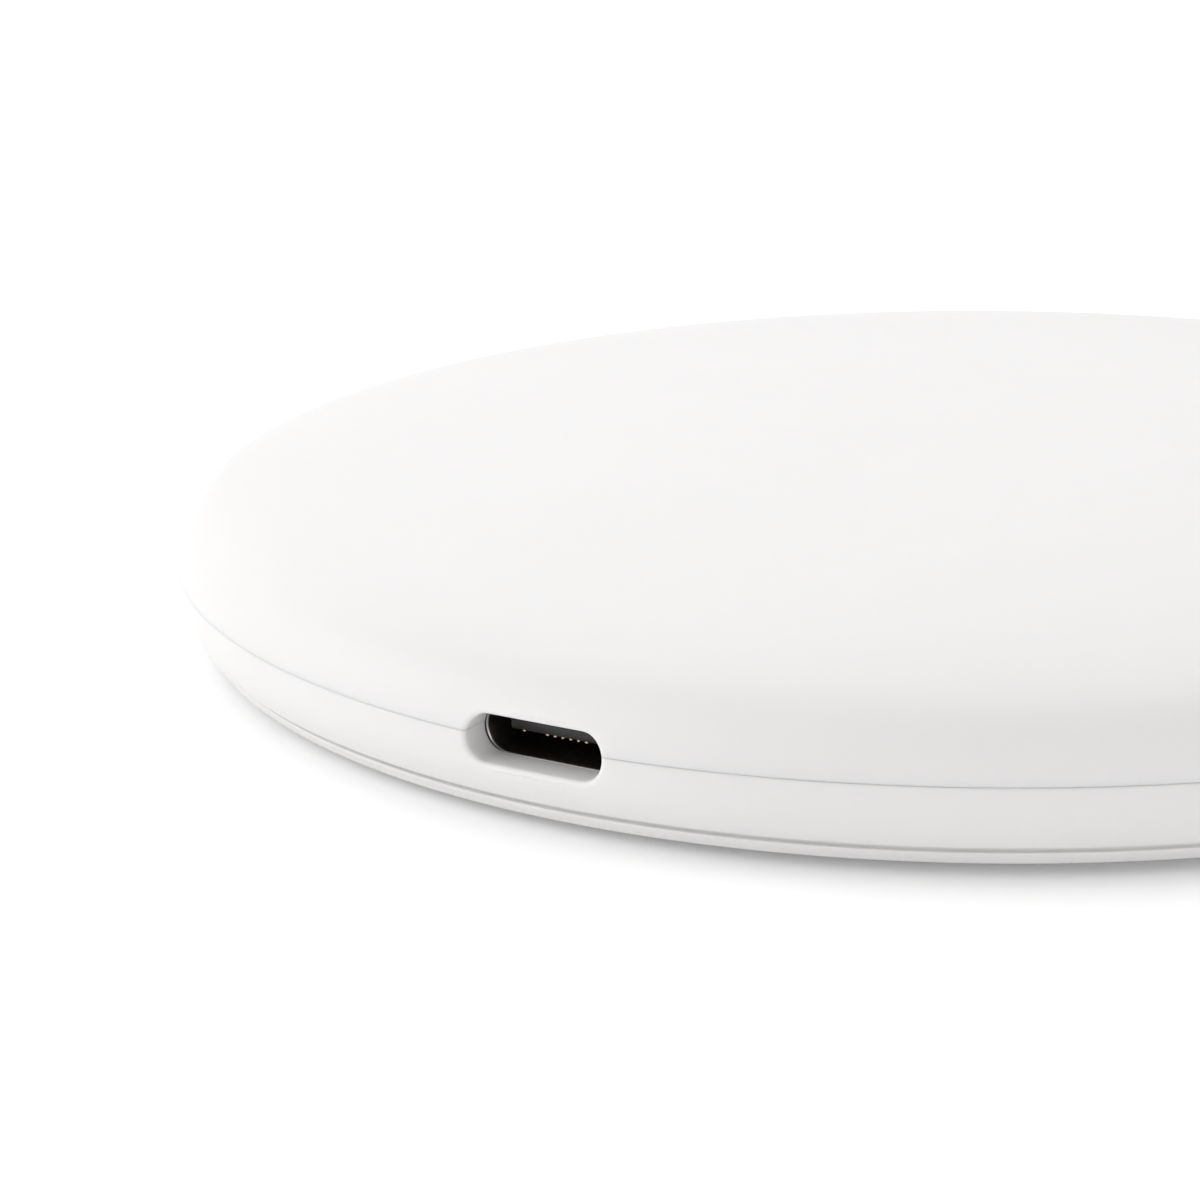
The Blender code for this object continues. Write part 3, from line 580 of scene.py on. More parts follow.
# name, places, radius, lowest and highest height
LOWER_POSTS = (
    ("low_bosses", SHELL_SCREWS, 3.3, POST_FOOT, 5.12),
    ("tray_posts", TRAY_SCREWS, 2.3, POST_FOOT, TRAY_BOTTOM - FIT),
    ("board_posts", BOARD_SCREWS, 1.9, POST_FOOT, BOARD_BOTTOM - FIT),
)
LOWER_HOLES = (
    ("wells", SHELL_SCREWS, 2.3, 1.0, 3.9),
    ("shanks", SHELL_SCREWS, 1.3, 3.0, 6.0),
    ("tray_pilots", TRAY_SCREWS, 1.1, 2.5, 6.0),
    ("board_pilots", BOARD_SCREWS, 0.95, 2.5, 6.0),
)


def port_tool():
    """The port's mouth, with a rounded rim that follows the curved wall."""
    around = obround(PORT_WIDTH, PORT_HEIGHT)
    rings = [[(x, PORT_CUT_BACK, PORT_Z + z) for x, z, nx, nz in around]]
    steps = 8
    for i in range(steps + 1):
        angle = pi / 2 * i / steps
        out, depth = RIM_ROUND * (1 - cos(angle)), RIM_ROUND * (1 - sin(angle))
        ring = []
        for x, z, nx, nz in around:
            px, pz = x + nx * out, PORT_Z + z + nz * out
            ring.append((px, wall_y(px, pz) + depth, pz))
        rings.append(ring)
    flare = RIM_ROUND + 0.25
    beyond = [(x + nx * flare, z + nz * flare) for x, z, nx, nz in around]
    rings.append([(x, wall_y(x, PORT_Z + z) - 0.5, PORT_Z + z) for x, z in beyond])
    bm = bmesh.new()
    add_loft(bm, rings)
    return tool(bm, "port_tool")


def upper_shell_mesh():
    """Domed cover, down to the seam."""
    crown = outline_run(CROWN_HEIGHT, SHOULDER_TOP, 1.3)
    shoulder = outline_run(SHOULDER_TOP, SEAM_TOP, 0.22)
    inner = outline_run(CROWN_HEIGHT - 0.01, SEAM_TOP, 0.9, WALL)
    inner[-1] = (inner[-1][0], SEAM_TOP)
    inner[0] = (0.0, CROWN_HEIGHT - WALL)
    outline = crown[:-1] + shoulder
    edge = len(outline) - 1
    outline += inner[::-1]
    radii = [None] * len(outline)
    radii[edge] = SEAM_ROUND_ABOVE
    bm = bmesh.new()
    add_turned(bm, soften(outline, radii), TURN_STEPS)
    return mesh_of(bm, "upper_shell")


def lower_shell_mesh():
    """Dish from the seam to the underside, with the lip that stands inside the upper shell."""
    side = outline_run(SEAM_BOTTOM, LOWER_EDGE, 0.2)
    floor_edge = outline_at(FLOOR_TOP)[0] - WALL - 0.5
    lip_outer = outline_at(LIP_SEAT)[0] - WALL - FIT
    lip_inner = lip_outer - LIP_THICKNESS
    outline = side + [(UNDERSIDE_RADIUS, LOWER_EDGE), (UNDERSIDE_RADIUS, UNDERSIDE), (0, UNDERSIDE)]
    outline += [(0, FLOOR_TOP), (floor_edge, FLOOR_TOP), (lip_inner, FLOOR_TOP + FLOOR_FILLET)]
    outline += [(lip_inner, LIP_TOP), (lip_outer - 0.35, LIP_TOP), (lip_outer, SEAM_BOTTOM)]
    radii = [None] * len(outline)
    radii[0] = SEAM_ROUND_BELOW
    radii[len(side) - 1] = LOWER_EDGE_ROUND
    bm = bmesh.new()
    add_turned(bm, soften(outline, radii), TURN_STEPS)
    return mesh_of(bm, "lower_shell")


def enclosure():
    """The two shells, with their bosses, the port and the thicker wall round it."""
    wall_back = SOCKET_FRONT - SOCKET_STOP
    across, upward = SOCKET_WIDTH / 2 + FIT, SOCKET_HEIGHT / 2 + FIT
    port = port_tool()
    pocket = block_tool("pocket", (-across, wall_back, PORT_Z - upward),
                        (across, POCKET_BACK, PORT_Z + upward))
    collar_top = block_tool("collar_top", (-COLLAR_HALF, COLLAR_FRONT, SEAM_TOP),
                            (COLLAR_HALF, wall_back, COLLAR_TOP))
    collar_low = block_tool("collar_low", (-COLLAR_HALF, COLLAR_FRONT, COLLAR_BOTTOM),
                            (COLLAR_HALF, wall_back, SEAM_BOTTOM))
    lip_gap = block_tool("lip_gap", (-LIP_GAP_HALF, COLLAR_FRONT, SEAM_BOTTOM),
                         (LIP_GAP_HALF, LIP_GAP_BACK, COLLAR_TOP))
    bosses = post_tool("bosses", SHELL_SCREWS, BOSS_RADIUS, SEAM_TOP, SHOULDER_TOP)
    pilots = post_tool("pilots", SHELL_SCREWS, PILOT_RADIUS, PILOT_FROM, PILOT_TO)
    upper = combined(upper_shell_mesh(), [(bosses, "UNION"), (pilots, "DIFFERENCE"), (collar_top, "UNION"),
                                          (port, "DIFFERENCE"), (pocket, "DIFFERENCE")])
    new_piece("visible_upper_shell", upper, WHITE, ("upper_shell",), 30)
    posts = [post_tool(*sizes) for sizes in LOWER_POSTS]
    holes = [post_tool(*sizes) for sizes in LOWER_HOLES]
    steps = [(lip_gap, "DIFFERENCE")] + [(thing, "UNION") for thing in posts + [collar_low]]
    steps += [(thing, "DIFFERENCE") for thing in holes + [port, pocket]]
    lower = combined(lower_shell_mesh(), steps)
    new_piece("visible_lower_shell", lower, WHITE, ("lower_shell",), 30)
    discard([port, pocket, collar_top, collar_low, lip_gap, bosses, pilots] + posts + holes)


def base_plate():
    """Inset plate with a leaning lip, a hub, and recesses for the tape and the foot."""
    low, high = node_box("base_plate")
    foot_from, foot_to, foot_roof = FOOT_INNER - FIT, 45.3, 0.8
    tape_from, tape_to, tape_roof = 21.5, 34.5, 1.3
    lip_foot, lip_edge, lip_top = (48.6, low.z), (50.24, 0.66), 1.43
    outline = [(0, high.z), (0, low.z), (foot_from, low.z), (foot_from, foot_roof)]
    outline += [(foot_to, foot_roof), (foot_to, low.z), lip_foot, lip_edge, (high.x, lip_top)]
    outline += [(HUB_RADIUS, lip_top), (HUB_RADIUS, high.z)]
    outline += [(tape_to, high.z), (tape_to, tape_roof), (tape_from, tape_roof), (tape_from, high.z)]
    radii = [None, None, 0.05, None, None, 0.05, 0.3, 0.15, 0.12, 0.08] + [None] * 5
    turned_piece("base_plate", outline, radii, WHITE, segments=TURN_STEPS)


def foot_ring():
    """Silicone ring that the pad rests on."""
    low, high = node_box("foot_ring")
    outline = [(FOOT_INNER, low.z), (high.x, low.z), (high.x, high.z), (FOOT_INNER, high.z)]
    turned_piece("foot_ring", outline, [0.15, 0.15, 0.08, 0.08], silicone())


enclosure()
base_plate()
foot_ring()


# ---- screws ----

def screw(name, head_radius, shank, seat, head_height, tip, pitch=0.45):
    """Pan-head screw with ridges for its thread and a cross recess."""
    x, y = centre_of(name)
    way = 1.0 if seat > tip else -1.0       # the head points up or down
    head = seat + way * head_height
    root = shank * 0.78                     # radius between two ridges
    outline = [(0, tip), (shank * 0.3, tip)]
    for i in range(int((abs(seat - tip) - 0.6) / pitch)):
        start = tip + way * (0.3 + pitch * i)
        outline += [(root, start), (shank, start + way * pitch / 2)]
    outline += [(root, seat - way * 0.1), (shank * 0.8, seat)]
    outline += [(head_radius, seat), (head_radius, head), (0, head)]
    radii = [None] * (len(outline) - 3) + [0.08, head_height * 0.55, None]
    bm = bmesh.new()
    add_turned(bm, soften(outline, radii, 5), 32, (x, y))
    heights = sorted((head - way * 0.5 * head_height, head + way * 0.3))
    reach, half = head_radius * 0.58, head_radius * 0.11
    cuts = [block_tool("recess", (x - a, y - b, heights[0]), (x + a, y + b, heights[1]))
            for a, b in ((reach, half), (half, reach))]
    new_piece(f"visible_{name}", carved(mesh_of(bm, name), cuts=cuts), STEEL, (name,), 40)


# node names, how many, head radius, shank radius, seat of the head, height of the head, tip
SCREWS = (
    ("shell_screw", 4, 1.9, 0.95, 3.6, 1.3, 8.1),
    ("tray_screw", 3, 1.8, 0.8, 5.95, 1.1, 3.0),
    ("board_screw", 4, 1.5, 0.65, 5.81, 0.9, 3.0),
)
for kind, count, *sizes in SCREWS:
    for number in range(1, count + 1):
        screw(f"{kind}_{number}", *sizes)


# ---- charging coil ----

FERRITE_BOTTOM, FERRITE_TOP, FERRITE_RADIUS = 6.45, 7.95, 25.0
SLOT_LEFT, SLOT_RIGHT, SLOT_FRONT = -1.9, 3.4, -30.0
ABOVE_STACK = 9.0           # the slots for the leads are cut up to here


def flat_ring(name, inner, look, cuts=()):
    """A ring or disc as high as its CAD node."""
    low, high = node_box(name)
    outline = [(inner, low.z), (high.x, low.z), (high.x, high.z), (inner, high.z)]
    turned_piece(name, outline, [None] * 4, look, cuts)


def slot_tool(back, bottom):
    """Passage for the leads, open towards the socket."""
    return block_tool("slot", (SLOT_LEFT, SLOT_FRONT, bottom), (SLOT_RIGHT, back, ABOVE_STACK))


def coil_tray():
    """Dish that holds the ferrite and the coil, with three screw lugs."""
    look = surface("grey_moulding", (0.09, 0.09, 0.095), 0.55, grain=0.2)
    outline = [(0, TRAY_BOTTOM), (TRAY_RADIUS, TRAY_BOTTOM), (TRAY_RADIUS, TRAY_RIM)]
    outline += [(TRAY_INNER, TRAY_RIM), (TRAY_INNER, TRAY_FLOOR), (0, TRAY_FLOOR)]
    holes = post_tool("lug_holes", TRAY_SCREWS, 1.25, 4.0, 7.0)
    lugs = post_tool("lugs", TRAY_SCREWS, 2.7, TRAY_BOTTOM, TRAY_FLOOR)
    turned_piece("coil_tray", outline, [None, 0.3, 0.3, 0.3, 0.4, None], look,
                 cuts=[holes, slot_tool(-20.0, TRAY_FLOOR + FIT)], joins=[lugs])


def ferrite_plate():
    """Magnetic shield with a slot for the leads."""
    look = surface("ferrite", (0.07, 0.07, 0.075), 0.6, grain=0.12, spread=0.25, depth=0.012)
    outline = [(0, FERRITE_BOTTOM), (FERRITE_RADIUS, FERRITE_BOTTOM)]
    outline += [(FERRITE_RADIUS, FERRITE_TOP), (0, FERRITE_TOP)]
    turned_piece("ferrite_plate", outline, [None, 0.25, 0.25, None], look, [slot_tool(-3.5, 6.0)])


COIL_Z, COIL_INNER, COIL_PITCH, WIRE = 9.25, 10.25, 1.175, 0.46
COIL_START, COIL_TURNS = -45.0, 9.81            # bearing of the inner end in degrees, and number of turns
BEAD_MIDDLE, BEAD_REACH, BEAD_RADIUS, BEAD_Z = 2.4, 1.05, 0.86, 9.05
LEAD_IN = [Vector(point) for point in (
    (0.8, -34.4, 6.1), (0.8, -33.0, 6.2), (0.6, -31.4, 6.75), (0.1, -29.8, 7.1), (-0.6, -28.0, 7.25),
    (-0.8, -26.0, 7.25), (-0.8, -20.0, 7.25), (-0.8, -14.0, 7.25), (-0.7, -11.2, 7.4), (0.0, -10.0, 8.0),
    (1.5, -9.75, 8.75), (3.4, -9.5, 9.15))]
LEAD_OUT = [Vector(point) for point in (
    (-5.5, -22.4, 9.25), (-4.5, -24.2, 9.25), (-4.3, -26.4, 9.2), (-4.3, -28.2, 8.7), (-4.4, -29.8, 7.5),
    (-4.5, -31.4, 6.75), (-4.6, -33.0, 6.2), (-4.6, -34.4, 6.1))]
SENSOR_LEAD = [Vector(point) for point in (
    (0.0, 1.9, 9.05), (0.0, 1.0, 9.05), (0.4, -0.8, 9.0), (1.4, -2.6, 8.75), (2.2, -4.6, 7.9),
    (2.2, -6.4, 7.0), (2.2, -9.0, 6.9), (2.2, -15.0, 6.9), (2.2, -21.0, 6.9), (2.2, -27.0, 6.9),
    (3.0, -29.6, 6.5), (3.6, -31.6, 6.0), (3.8, -33.6, 5.95))]


def smooth_path(points, steps):
    """Catmull-Rom curve through the points."""
    ends = [points[0] * 2 - points[1]] + points + [points[-1] * 2 - points[-2]]
    curve = []
    for a, b, c, d in zip(ends, ends[1:], ends[2:], ends[3:]):
        for i in range(steps):
            t = i / steps
            curve.append(0.5 * (2 * b + (c - a) * t + (2 * a - 5 * b + 4 * c - d) * t * t
                                + (3 * b - a - 3 * c + d) * t ** 3))
    return curve + [points[-1]]


def even_path(path, step):
    """The same path with points about this far apart."""
    points = np.array(path)
    travel = np.concatenate([[0], np.cumsum(np.linalg.norm(np.diff(points, axis=0), axis=1))])
    even = np.linspace(0, travel[-1], round(travel[-1] / step) + 1)
    return [Vector(point) for point in zip(*(np.interp(even, travel, points[:, k]) for k in range(3)))]


def frames(path):
    """(place, across, upward) at each point of a path, level across."""
    found = []
    for i, place in enumerate(path):
        along = (path[min(i + 1, len(path) - 1)] - path[max(i - 1, 0)]).normalized()
        across = along.cross(Vector((0, 0, 1))).normalized()
        found.append((place, across, across.cross(along)))
    return found


def add_tube(bm, path, radius, sides, offset=0.0, phase=0.0, twist=0.0):
    """Round wire along a path; it may wind round the path at this offset."""
    rings = []
    for i, (place, across, upward) in enumerate(frames(path)):
        turn = phase + twist * i
        middle = place + offset * (across * cos(turn) + upward * sin(turn))
        rings.append([middle + radius * (across * cos(a) + upward * sin(a)) for a in full_turn(sides)])
    add_loft(bm, rings)


def coil_path():
    """Centre line of the whole winding, lead to lead."""
    count = round(COIL_TURNS * 120)
    turns = []
    for i in range(count + 1):
        done = COIL_TURNS * i / count
        angle = radians(COIL_START) + 2 * pi * done
        radius = COIL_INNER + COIL_PITCH * done
        turns.append(Vector((radius * cos(angle), radius * sin(angle), COIL_Z)))
    inner = smooth_path(LEAD_IN + [turns[0]], 6)
    outer = smooth_path([turns[-1]] + LEAD_OUT, 6)
    return inner[:-1] + turns + outer[1:]


def coil_winding():
    """Seven strands of enamelled copper, six twisted round one."""
    copper = surface("enamelled_copper", (0.72, 0.34, 0.18), 0.32, 1.0, grain=0.5, spread=0.12,
                     Coat_Weight=0.5)
    path = even_path(coil_path(), 0.75)
    bm = bmesh.new()
    add_tube(bm, path, WIRE / 3, 6)
    for strand in range(6):
        add_tube(bm, path, WIRE / 3, 6, WIRE * 2 / 3, pi * strand / 3, 0.55)
    winding = mesh_of(bm, "coil_winding")
    new_piece("visible_coil_winding", winding, copper, ("coil_winding",), 0)


def coil_lead_sleeves():
    """Short tubes over the two leads where they leave the tray."""
    look = surface("sleeve", (0.78, 0.76, 0.70), 0.5, grain=0.3)
    for number, points in enumerate((LEAD_IN[2:5], LEAD_OUT[3:6]), 1):
        path = frames(smooth_path(points, 8))
        rings = []
        for radius, run in ((0.9, path), (0.62, path[::-1])):
            rings += [[p + radius * (a * cos(t) + u * sin(t)) for t in full_turn(24)] for p, a, u in run]
        bm = bmesh.new()
        add_loft(bm, rings, closed=True)
        name = f"coil_lead_sleeve_{number}"
        new_piece(f"visible_{name}", mesh_of(bm, name), look, (name,))


def thermistor():
    """Epoxy bead on a twin lead."""
    look = surface("epoxy", (0.03, 0.03, 0.032), 0.35, grain=0.4, spread=0.15)
    bm = bmesh.new()
    for phase in (pi, 0.0):
        add_tube(bm, smooth_path(SENSOR_LEAD, 8), 0.25, 10, 0.27, phase)
    steps = 12
    rings = []
    for i in range(1, steps):
        angle = pi * i / steps
        y, radius = BEAD_MIDDLE + BEAD_REACH * cos(angle), BEAD_RADIUS * sin(angle) ** 0.8
        rings.append([(radius * cos(t), y, BEAD_Z + radius * sin(t)) for t in full_turn(24)])
    add_loft(bm, rings)
    new_piece("visible_thermistor", mesh_of(bm, "thermistor"), look, ("thermistor",))


coil_tray()
ferrite_plate()
flat_ring("base_adhesive", 22.0, TAPE)
flat_ring("ferrite_adhesive", 0.0, TAPE)
flat_ring("coil_adhesive", 10.9, TAPE, [slot_tool(-8.0, 8.0)])
coil_winding()
coil_lead_sleeves()
thermistor()


# ---- socket ----

TONGUE_WIDTH, TONGUE_HALF = 6.69, 0.35
TONGUE_FRONT, TONGUE_ROOT = SOCKET_FRONT + 0.9, SOCKET_FRONT + 6.0
CONTACT_PLACES = (-2.75, -1.25, -0.75, -0.25, 0.25, 0.75, 1.25, 2.75)
CONTACT_WIDTH, CONTACT_HEIGHT, GROOVE_HALF = 0.22, 0.2, 0.17
LEG_PLACES = ((-1, -46.6), (1, -46.6), (-1, -43.7), (1, -43.7))     # side of the socket, then y
LEG_REACH, LEG_HALF = 6.35, 0.55


def usb_shell():
    """Deep-drawn metal tube with a rolled front edge and four legs."""
    around = obround(SOCKET_WIDTH, SOCKET_HEIGHT)
    half = SOCKET_WALL / 2
    profile = [(SOCKET_BACK, 0.0)]
    profile += [(SOCKET_FRONT + half * (1 - sin(pi * i / 8)), half * (cos(pi * i / 8) - 1)) for i in range(9)]
    profile += [(SOCKET_BACK, -SOCKET_WALL)]
    bm = bmesh.new()
    rings = [[(x + nx * grow, y, PORT_Z + z + nz * grow) for x, z, nx, nz in around] for y, grow in profile]
    add_loft(bm, rings, closed=True)
    top, reach, thick = PORT_Z + SOCKET_HEIGHT / 2 - 0.1, LEG_REACH, 0.28
    legs = []
    for side, y in LEG_PLACES:
        bend = [(3.0, top), (3.0, top - thick), (reach - thick, top - thick), (reach - thick, 4.3)]
        bend += [(reach - 0.1, 4.21), (reach, 4.3), (reach, top - 0.1), (reach - 0.1, top)]
        leg = bmesh.new()
        add_loft(leg, [[(side * x, y + edge, z) for x, z in bend] for edge in (-LEG_HALF, LEG_HALF)])
        legs.append(tool(leg, "leg"))
    mesh = carved(mesh_of(bm, "usb_shell"), joins=legs)
    new_piece("visible_usb_shell", mesh, nickel_with_painted_shade(), ("usb_shell",), 30)


def usb_insulator():
    """Block with grooves for the contacts, and its tongue."""
    look = surface("socket_plastic", (0.03, 0.028, 0.028), 0.4, grain=0.15, spread=0.1)
    half_width = SOCKET_WIDTH / 2 - SOCKET_WALL - 0.1
    reach = SOCKET_HEIGHT / 2 - SOCKET_WALL - 0.1
    bed = TONGUE_HALF - 0.05
    comb = []
    for centre in CONTACT_PLACES:
        left, right = centre - GROOVE_HALF, centre + GROOVE_HALF
        comb += [(left, reach), (left, bed), (right, bed), (right, reach)]
    turn = [radians(80 - 8 * i) for i in range(21)]
    end = [(half_width - reach + reach * cos(a), reach * sin(a)) for a in turn]
    outline = comb + end + [(-x, -z) for x, z in comb] + [(-x, -z) for x, z in end]
    block = bmesh.new()
    add_loft(block, [[(x, y, PORT_Z + z) for x, z in outline] for y in (TONGUE_ROOT, SOCKET_BACK)])
    tongue = bmesh.new()
    tip = ((TONGUE_ROOT + 0.5, 0.0), (TONGUE_FRONT + 0.22, 0.0), (TONGUE_FRONT + 0.07, 0.05),
           (TONGUE_FRONT, 0.16))
    rings = []
    for y, inset in tip:
        section = rounded_box(TONGUE_WIDTH - 2 * inset, 2 * (TONGUE_HALF - inset), 0.08)
        rings.append([(x, y, PORT_Z + z) for x, z in section])
    add_loft(tongue, rings)
    mesh = carved(mesh_of(block, "usb_insulator"), joins=[tool(tongue, "tongue")])
    new_piece("visible_usb_insulator", mesh, look, ("usb_insulator",), 30)


def usb_contacts():
    """Gold blades that lie on the tongue and run back to the board."""
    look = surface("contact_gold", (0.80, 0.62, 0.34), 0.28, 1.0, grain=0.2, spread=0.08)
    front, back = (corner.y for corner in node_box("usb_contact_upper_1"))
    for row, side in (("upper", 1), ("lower", -1)):
        for number, x in enumerate(CONTACT_PLACES, 1):
            bm = bmesh.new()
            low = PORT_Z + side * (TONGUE_HALF + 0.08) - CONTACT_HEIGHT / 2
            size = (CONTACT_WIDTH, back - front, CONTACT_HEIGHT)
            add_slab(bm, (x, (front + back) / 2), size, low, corner=0.08, edge=0.03)
            name = f"usb_contact_{row}_{number}"
            new_piece(f"visible_{name}", mesh_of(bm, name), look, (name,))


# ---- board ----

def polar(radius, bearing):
    """Place at this bearing from the socket's direction, -Y."""
    return (radius * sin(radians(bearing)), -radius * cos(radians(bearing)))


def circuit_board():
    """Crescent with a notch for the socket and slots for its legs."""
    outer, inner, spread = 48.0, 30.5, 42.0
    notch_half, notch_back = 4.85, SOCKET_BACK + 0.3
    notch = np.degrees(atan2(notch_half, sqrt(outer ** 2 - notch_half ** 2)))
    count = 18
    left = [polar(outer, b) for b in np.linspace(-spread, -notch, count)]
    right = [polar(outer, b) for b in np.linspace(notch, spread, count)]
    back = [polar(inner, b) for b in np.linspace(spread, -spread, 26)]
    outline = left + [(-notch_half, notch_back), (notch_half, notch_back)] + right + back
    radii = [None] * len(outline)
    for index in (0, 2 * count + 1, 2 * count + 2, len(outline) - 1):
        radii[index] = 0.8
    radii[count] = radii[count + 1] = 0.4
    flat = soften(outline, radii)
    bm = bmesh.new()
    add_loft(bm, [[(x, y, z) for x, y in flat] for z in (BOARD_BOTTOM, BOARD_TOP)])
    cuts = [post_tool("board_holes", BOARD_SCREWS, 1.05, 4.0, 7.0)]
    across, along = 0.44, LEG_HALF + FIT
    for side, y in LEG_PLACES:
        x = side * (LEG_REACH - 0.14)
        cuts.append(block_tool("leg_slot", (x - across, y - along, 4.0), (x + across, y + along, 7.0)))
    mesh = carved(mesh_of(bm, "circuit_board"), cuts=cuts)
    new_piece("visible_circuit_board", mesh, solder_mask(), ("circuit_board",), 30)


BULK_PLACE = (42.4, -31.0)
# name, look, slot, size (along, across, high), corner, edge, feature, then each one's (radius, bearing, turn)
COMPONENTS = (
    ("controller_chip", RESIN, "black_resin", (6.0, 6.0, 0.9), 0.08, 0.06, "pins", ((38.0, -14.0, 0.0),)),
    ("power_bridge_chip", RESIN, "black_resin", (5.0, 5.0, 0.9), 0.08, 0.06, "pins",
     ((37.6, 12.0, 0.0), (37.6, 22.5, 0.0))),
    ("resonance_capacitor", CERAMIC, "ceramic", (3.2, 2.5, 1.8), 0.15, 0.12, "ends",
     ((37.8, 38.0, 0.0), (41.0, 37.6, 0.0), (44.2, 37.3, 0.0), (45.6, 32.6, 0.0))),
    ("bulk_capacitor", AMBER, "tantalum", (7.3, 4.3, 1.9), 0.12, 0.15, "tabs", ((*BULK_PLACE, 0.0),)),
    ("input_capacitor", CERAMIC, "ceramic", (3.2, 1.6, 1.2), 0.12, 0.1, "ends",
     ((44.6, 12.6, 90.0), (44.6, -12.6, 90.0), (42.0, 15.6, 90.0))),
    ("power_inductor", POWDER, "inductor", (5.2, 5.2, 2.3), 0.7, 0.4, "tabs", ((42.8, 26.4, 0.0),)),
    ("crystal", LID, "crystal_can", (3.2, 2.5, 0.8), 0.4, 0.15, "tabs", ((37.0, -23.6, 0.0),)),
    ("current_sense_resistor", RESIN, "black_resin", (3.2, 1.6, 0.55), 0.05, 0.05, "ends",
     ((33.4, 20.0, 0.0),)),
)
# (radius, bearing, turn) of each one
CHIP_RESISTORS = (
    (33.2, -10.0, 0), (33.2, -13.0, 0), (33.2, -16.0, 90), (33.4, -20.0, 0), (35.4, -27.5, 90),
    (42.6, -8.6, 0), (42.6, -12.0, 90), (42.6, -18.2, 0), (45.8, -26.0, 0), (38.4, -36.0, 90),
    (40.6, -37.5, 0), (33.2, 9.0, 90), (33.2, 12.0, 0), (33.2, 15.4, 0), (33.6, 25.0, 90),
    (36.4, 31.0, 0), (39.6, 31.5, 90), (41.6, 9.0, 0),
)
CHIP_SIZE, CHIP_END = (1.0, 0.5, 0.32), (0.3, 0.56, 0.38)


def add_ends(bm, feature, centre, size, turn):
    """Tinned pins, ends or tabs of one component."""
    length, depth, height = size
    if feature == "pins":
        for k in range(7):
            place = (k - 3) * 0.65 * length / 5.2
            for x, y, w, d in ((place, depth / 2, 0.28, 0.3), (place, -depth / 2, 0.28, 0.3),
                               (length / 2, place, 0.3, 0.28), (-length / 2, place, 0.3, 0.28)):
                add_slab(bm, turned_about(centre, turn, x, y), (w, d, 0.22), BOARD_TOP, turn, 0.04, 0.03)
        return
    band, rise = (0.55, height + 0.14) if feature == "ends" else (0.5, 0.5)
    for side in (-1, 1):
        place = turned_about(centre, turn, side * (length - band + 0.12) / 2, 0.0)
        across = depth + 0.04 if feature == "ends" else depth * 0.6
        add_slab(bm, place, (band, across, rise), BOARD_TOP, turn, 0.1, 0.08)


def components():
    """The bodies as separate pieces, and all their tinned ends as one."""
    ends = bmesh.new()
    for name, look, slot, size, corner, edge, feature, places in COMPONENTS:
        for number, (radius, bearing, turn) in enumerate(places, 1):
            bm = bmesh.new()
            centre, spin = polar(radius, bearing), bearing + turn
            add_slab(bm, centre, size, BOARD_TOP + 0.12, spin, corner, edge)
            node = name if len(places) == 1 else f"{name}_{number}"
            mesh = mesh_of(bm, node)
            if feature == "pins":
                spot = turned_about(centre, spin, -size[0] * 0.36, size[1] * 0.36)
                dimple = post_tool("dimple", [spot], 0.35, BOARD_TOP + 0.95, BOARD_TOP + 1.5, 24)
                mesh = carved(mesh, cuts=[dimple])
            new_piece(f"visible_{node}", mesh, look, (node,), 30)
            add_ends(ends, feature, centre, size, spin)
    bodies = bmesh.new()
    for radius, bearing, turn in CHIP_RESISTORS:
        centre, spin = polar(radius, bearing), bearing + turn
        add_slab(bodies, centre, CHIP_SIZE, BOARD_TOP + 0.02, spin, 0.03, 0.03)
        for side in (-1, 1):
            place = turned_about(centre, spin, side * 0.46, 0.0)
            add_slab(ends, place, CHIP_END, BOARD_TOP, spin, 0.05, 0.04)
    new_piece("chip_resistors", mesh_of(bodies, "chip_resistors"), RESIN)
    new_piece("tinned_ends", mesh_of(ends, "tinned_ends"), TIN)


def polarity_mark():
    """Dark bar across one end of the bulk capacitor."""
    radius, bearing = BULK_PLACE
    place = turned_about(polar(radius, bearing), bearing, -2.7, 0.0)
    bm = bmesh.new()
    add_slab(bm, place, (0.8, 4.2, 0.06), BOARD_TOP + 1.98, bearing, 0.05, 0.02)
    new_piece("polarity_mark", mesh_of(bm, "polarity_mark"), MARK)


def solder_joints():
    """Domes of solder over the ends of the coil's leads."""
    for number in (1, 2):
        name = f"coil_solder_joint_{number}"
        low, high = node_box(name)
        rise = high.z - low.z
        dome = ((0.93, 0.2), (0.78, 0.47), (0.6, 0.7), (0.38, 0.88), (0.18, 0.97))
        outline = [(0, low.z), (1.0, low.z)]
        outline += [(radius, low.z + rise * share) for radius, share in dome] + [(0, high.z)]
        bm = bmesh.new()
        add_turned(bm, outline, 36, centre_of(name))
        new_piece(f"visible_{name}", mesh_of(bm, name), TIN, (name,))


usb_shell()
usb_insulator()
usb_contacts()
circuit_board()
components()
polarity_mark()
solder_joints()


# ---- floor, world and lights ----

FLOOR_HALF, FLOOR_DROP = 3.0, 0.00001        # metres; the drop keeps it clear of the foot's underside
WORLD_STRENGTH = 0.27


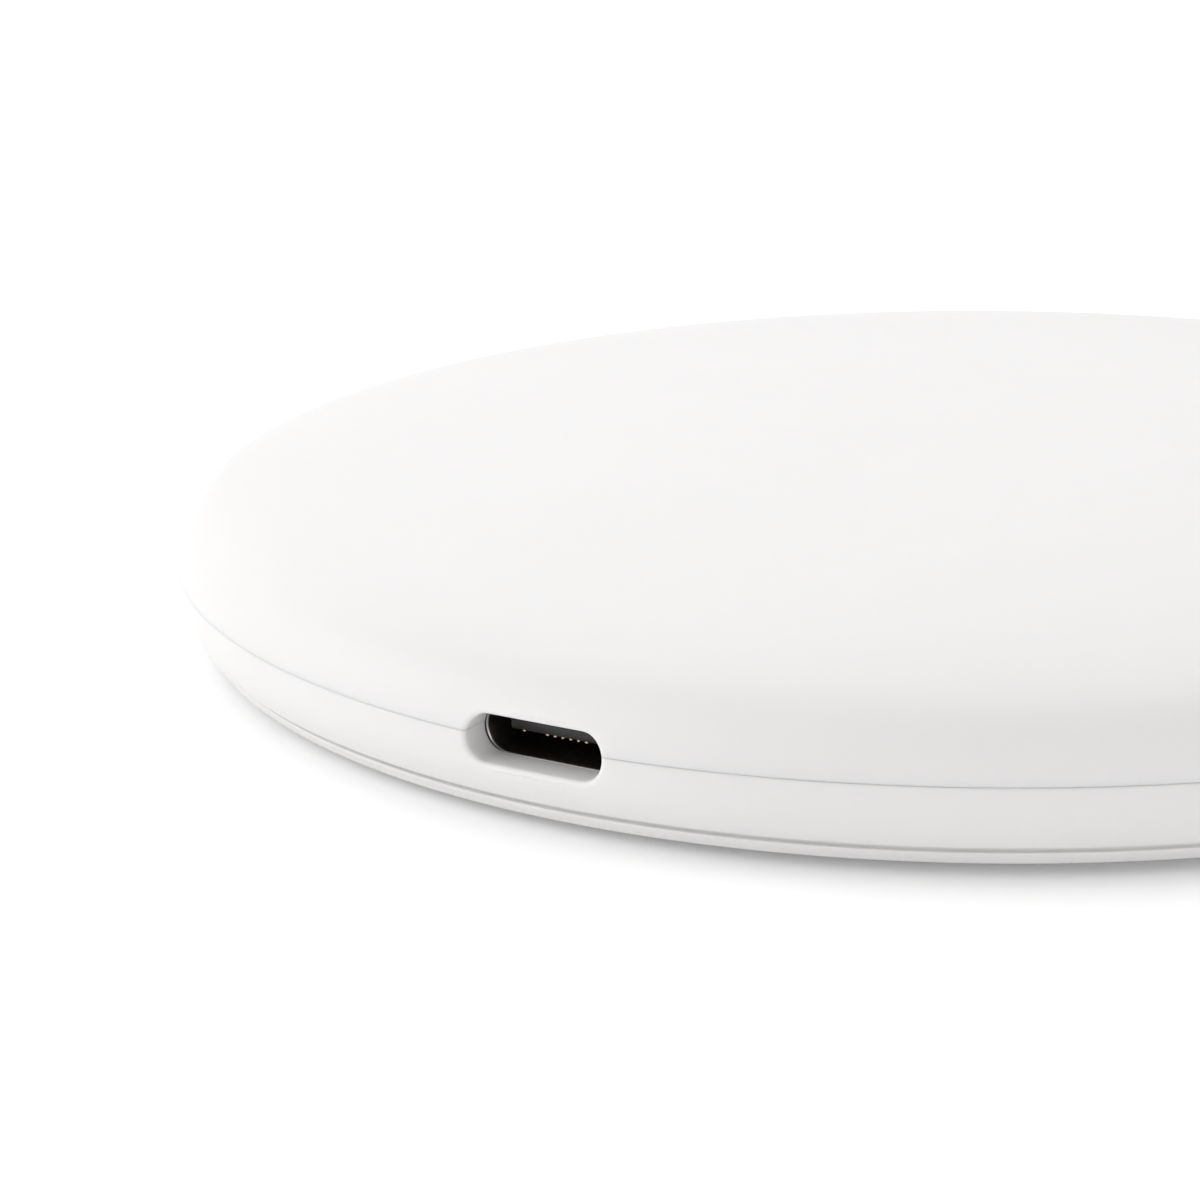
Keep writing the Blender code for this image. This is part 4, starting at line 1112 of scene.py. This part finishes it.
def plain_floor():
    """Pale table top."""
    mesh = bpy.data.meshes.new("floor")
    around = ((-1, -1), (1, -1), (1, 1), (-1, 1))
    mesh.from_pydata([(a * FLOOR_HALF, b * FLOOR_HALF, -FLOOR_DROP) for a, b in around], [], [(0, 1, 2, 3)])
    floor = bpy.data.objects.new("floor", mesh)
    bpy.context.scene.collection.objects.link(floor)
    recipe = Recipe("floor", (0.97, 0.97, 0.97), 0.9, Specular_IOR_Level=0.1, Emission_Strength=0.06)
    recipe.shader.inputs["Emission Color"].default_value = (1.0, 1.0, 1.0, 1.0)
    mesh.materials.append(recipe.material)


def softbox(name, place, width, depth, power):
    """White area light that points at the origin."""
    data = bpy.data.lights.new(name, "AREA")
    data.shape = "RECTANGLE"
    data.size, data.size_y = width, depth
    data.energy = power
    light = bpy.data.objects.new(name, data)
    bpy.context.scene.collection.objects.link(light)
    light.matrix_world = Matrix.Translation(place) @ (-place).to_track_quat("-Z", "Y").to_matrix().to_4x4()


# name, place in metres (away from the camera, to its right, up), width, depth and power in watts
SOFTBOXES = (
    ("left_softbox", (0.0, -0.75, 0.40), 0.9, 0.6, 5.4),
    ("top_softbox", (0.1, 0.0, 0.95), 1.1, 1.1, 3.1),
    ("back_softbox", (0.75, -0.15, 0.45), 1.2, 0.6, 4.4),
    ("front_softbox", (-0.82, 0.2, 0.2), 1.0, 0.35, 2.6),
    ("right_softbox", (0.0, 0.8, 0.40), 0.9, 0.6, 2.7),
)
HEADING = radians(CAMERA_BEARING + CAMERA_PAN)
CAMERA_AHEAD = Vector((-sin(HEADING), cos(HEADING), 0))
CAMERA_ASIDE = Vector((cos(HEADING), sin(HEADING), 0))


def studio():
    """White surroundings and the softboxes."""
    world = bpy.data.worlds.new("studio")
    world.use_nodes = True
    background = world.node_tree.nodes["Background"]
    background.inputs["Color"].default_value = (1.0, 1.0, 1.0, 1.0)
    background.inputs["Strength"].default_value = WORLD_STRENGTH
    bpy.context.scene.world = world
    for name, (ahead, aside, height), width, depth, power in SOFTBOXES:
        place = ahead * CAMERA_AHEAD + aside * CAMERA_ASIDE + height * Vector((0, 0, 1))
        softbox(name, place, width, depth, power)
    bpy.context.scene.view_settings.view_transform = "Standard"


plain_floor()
studio()
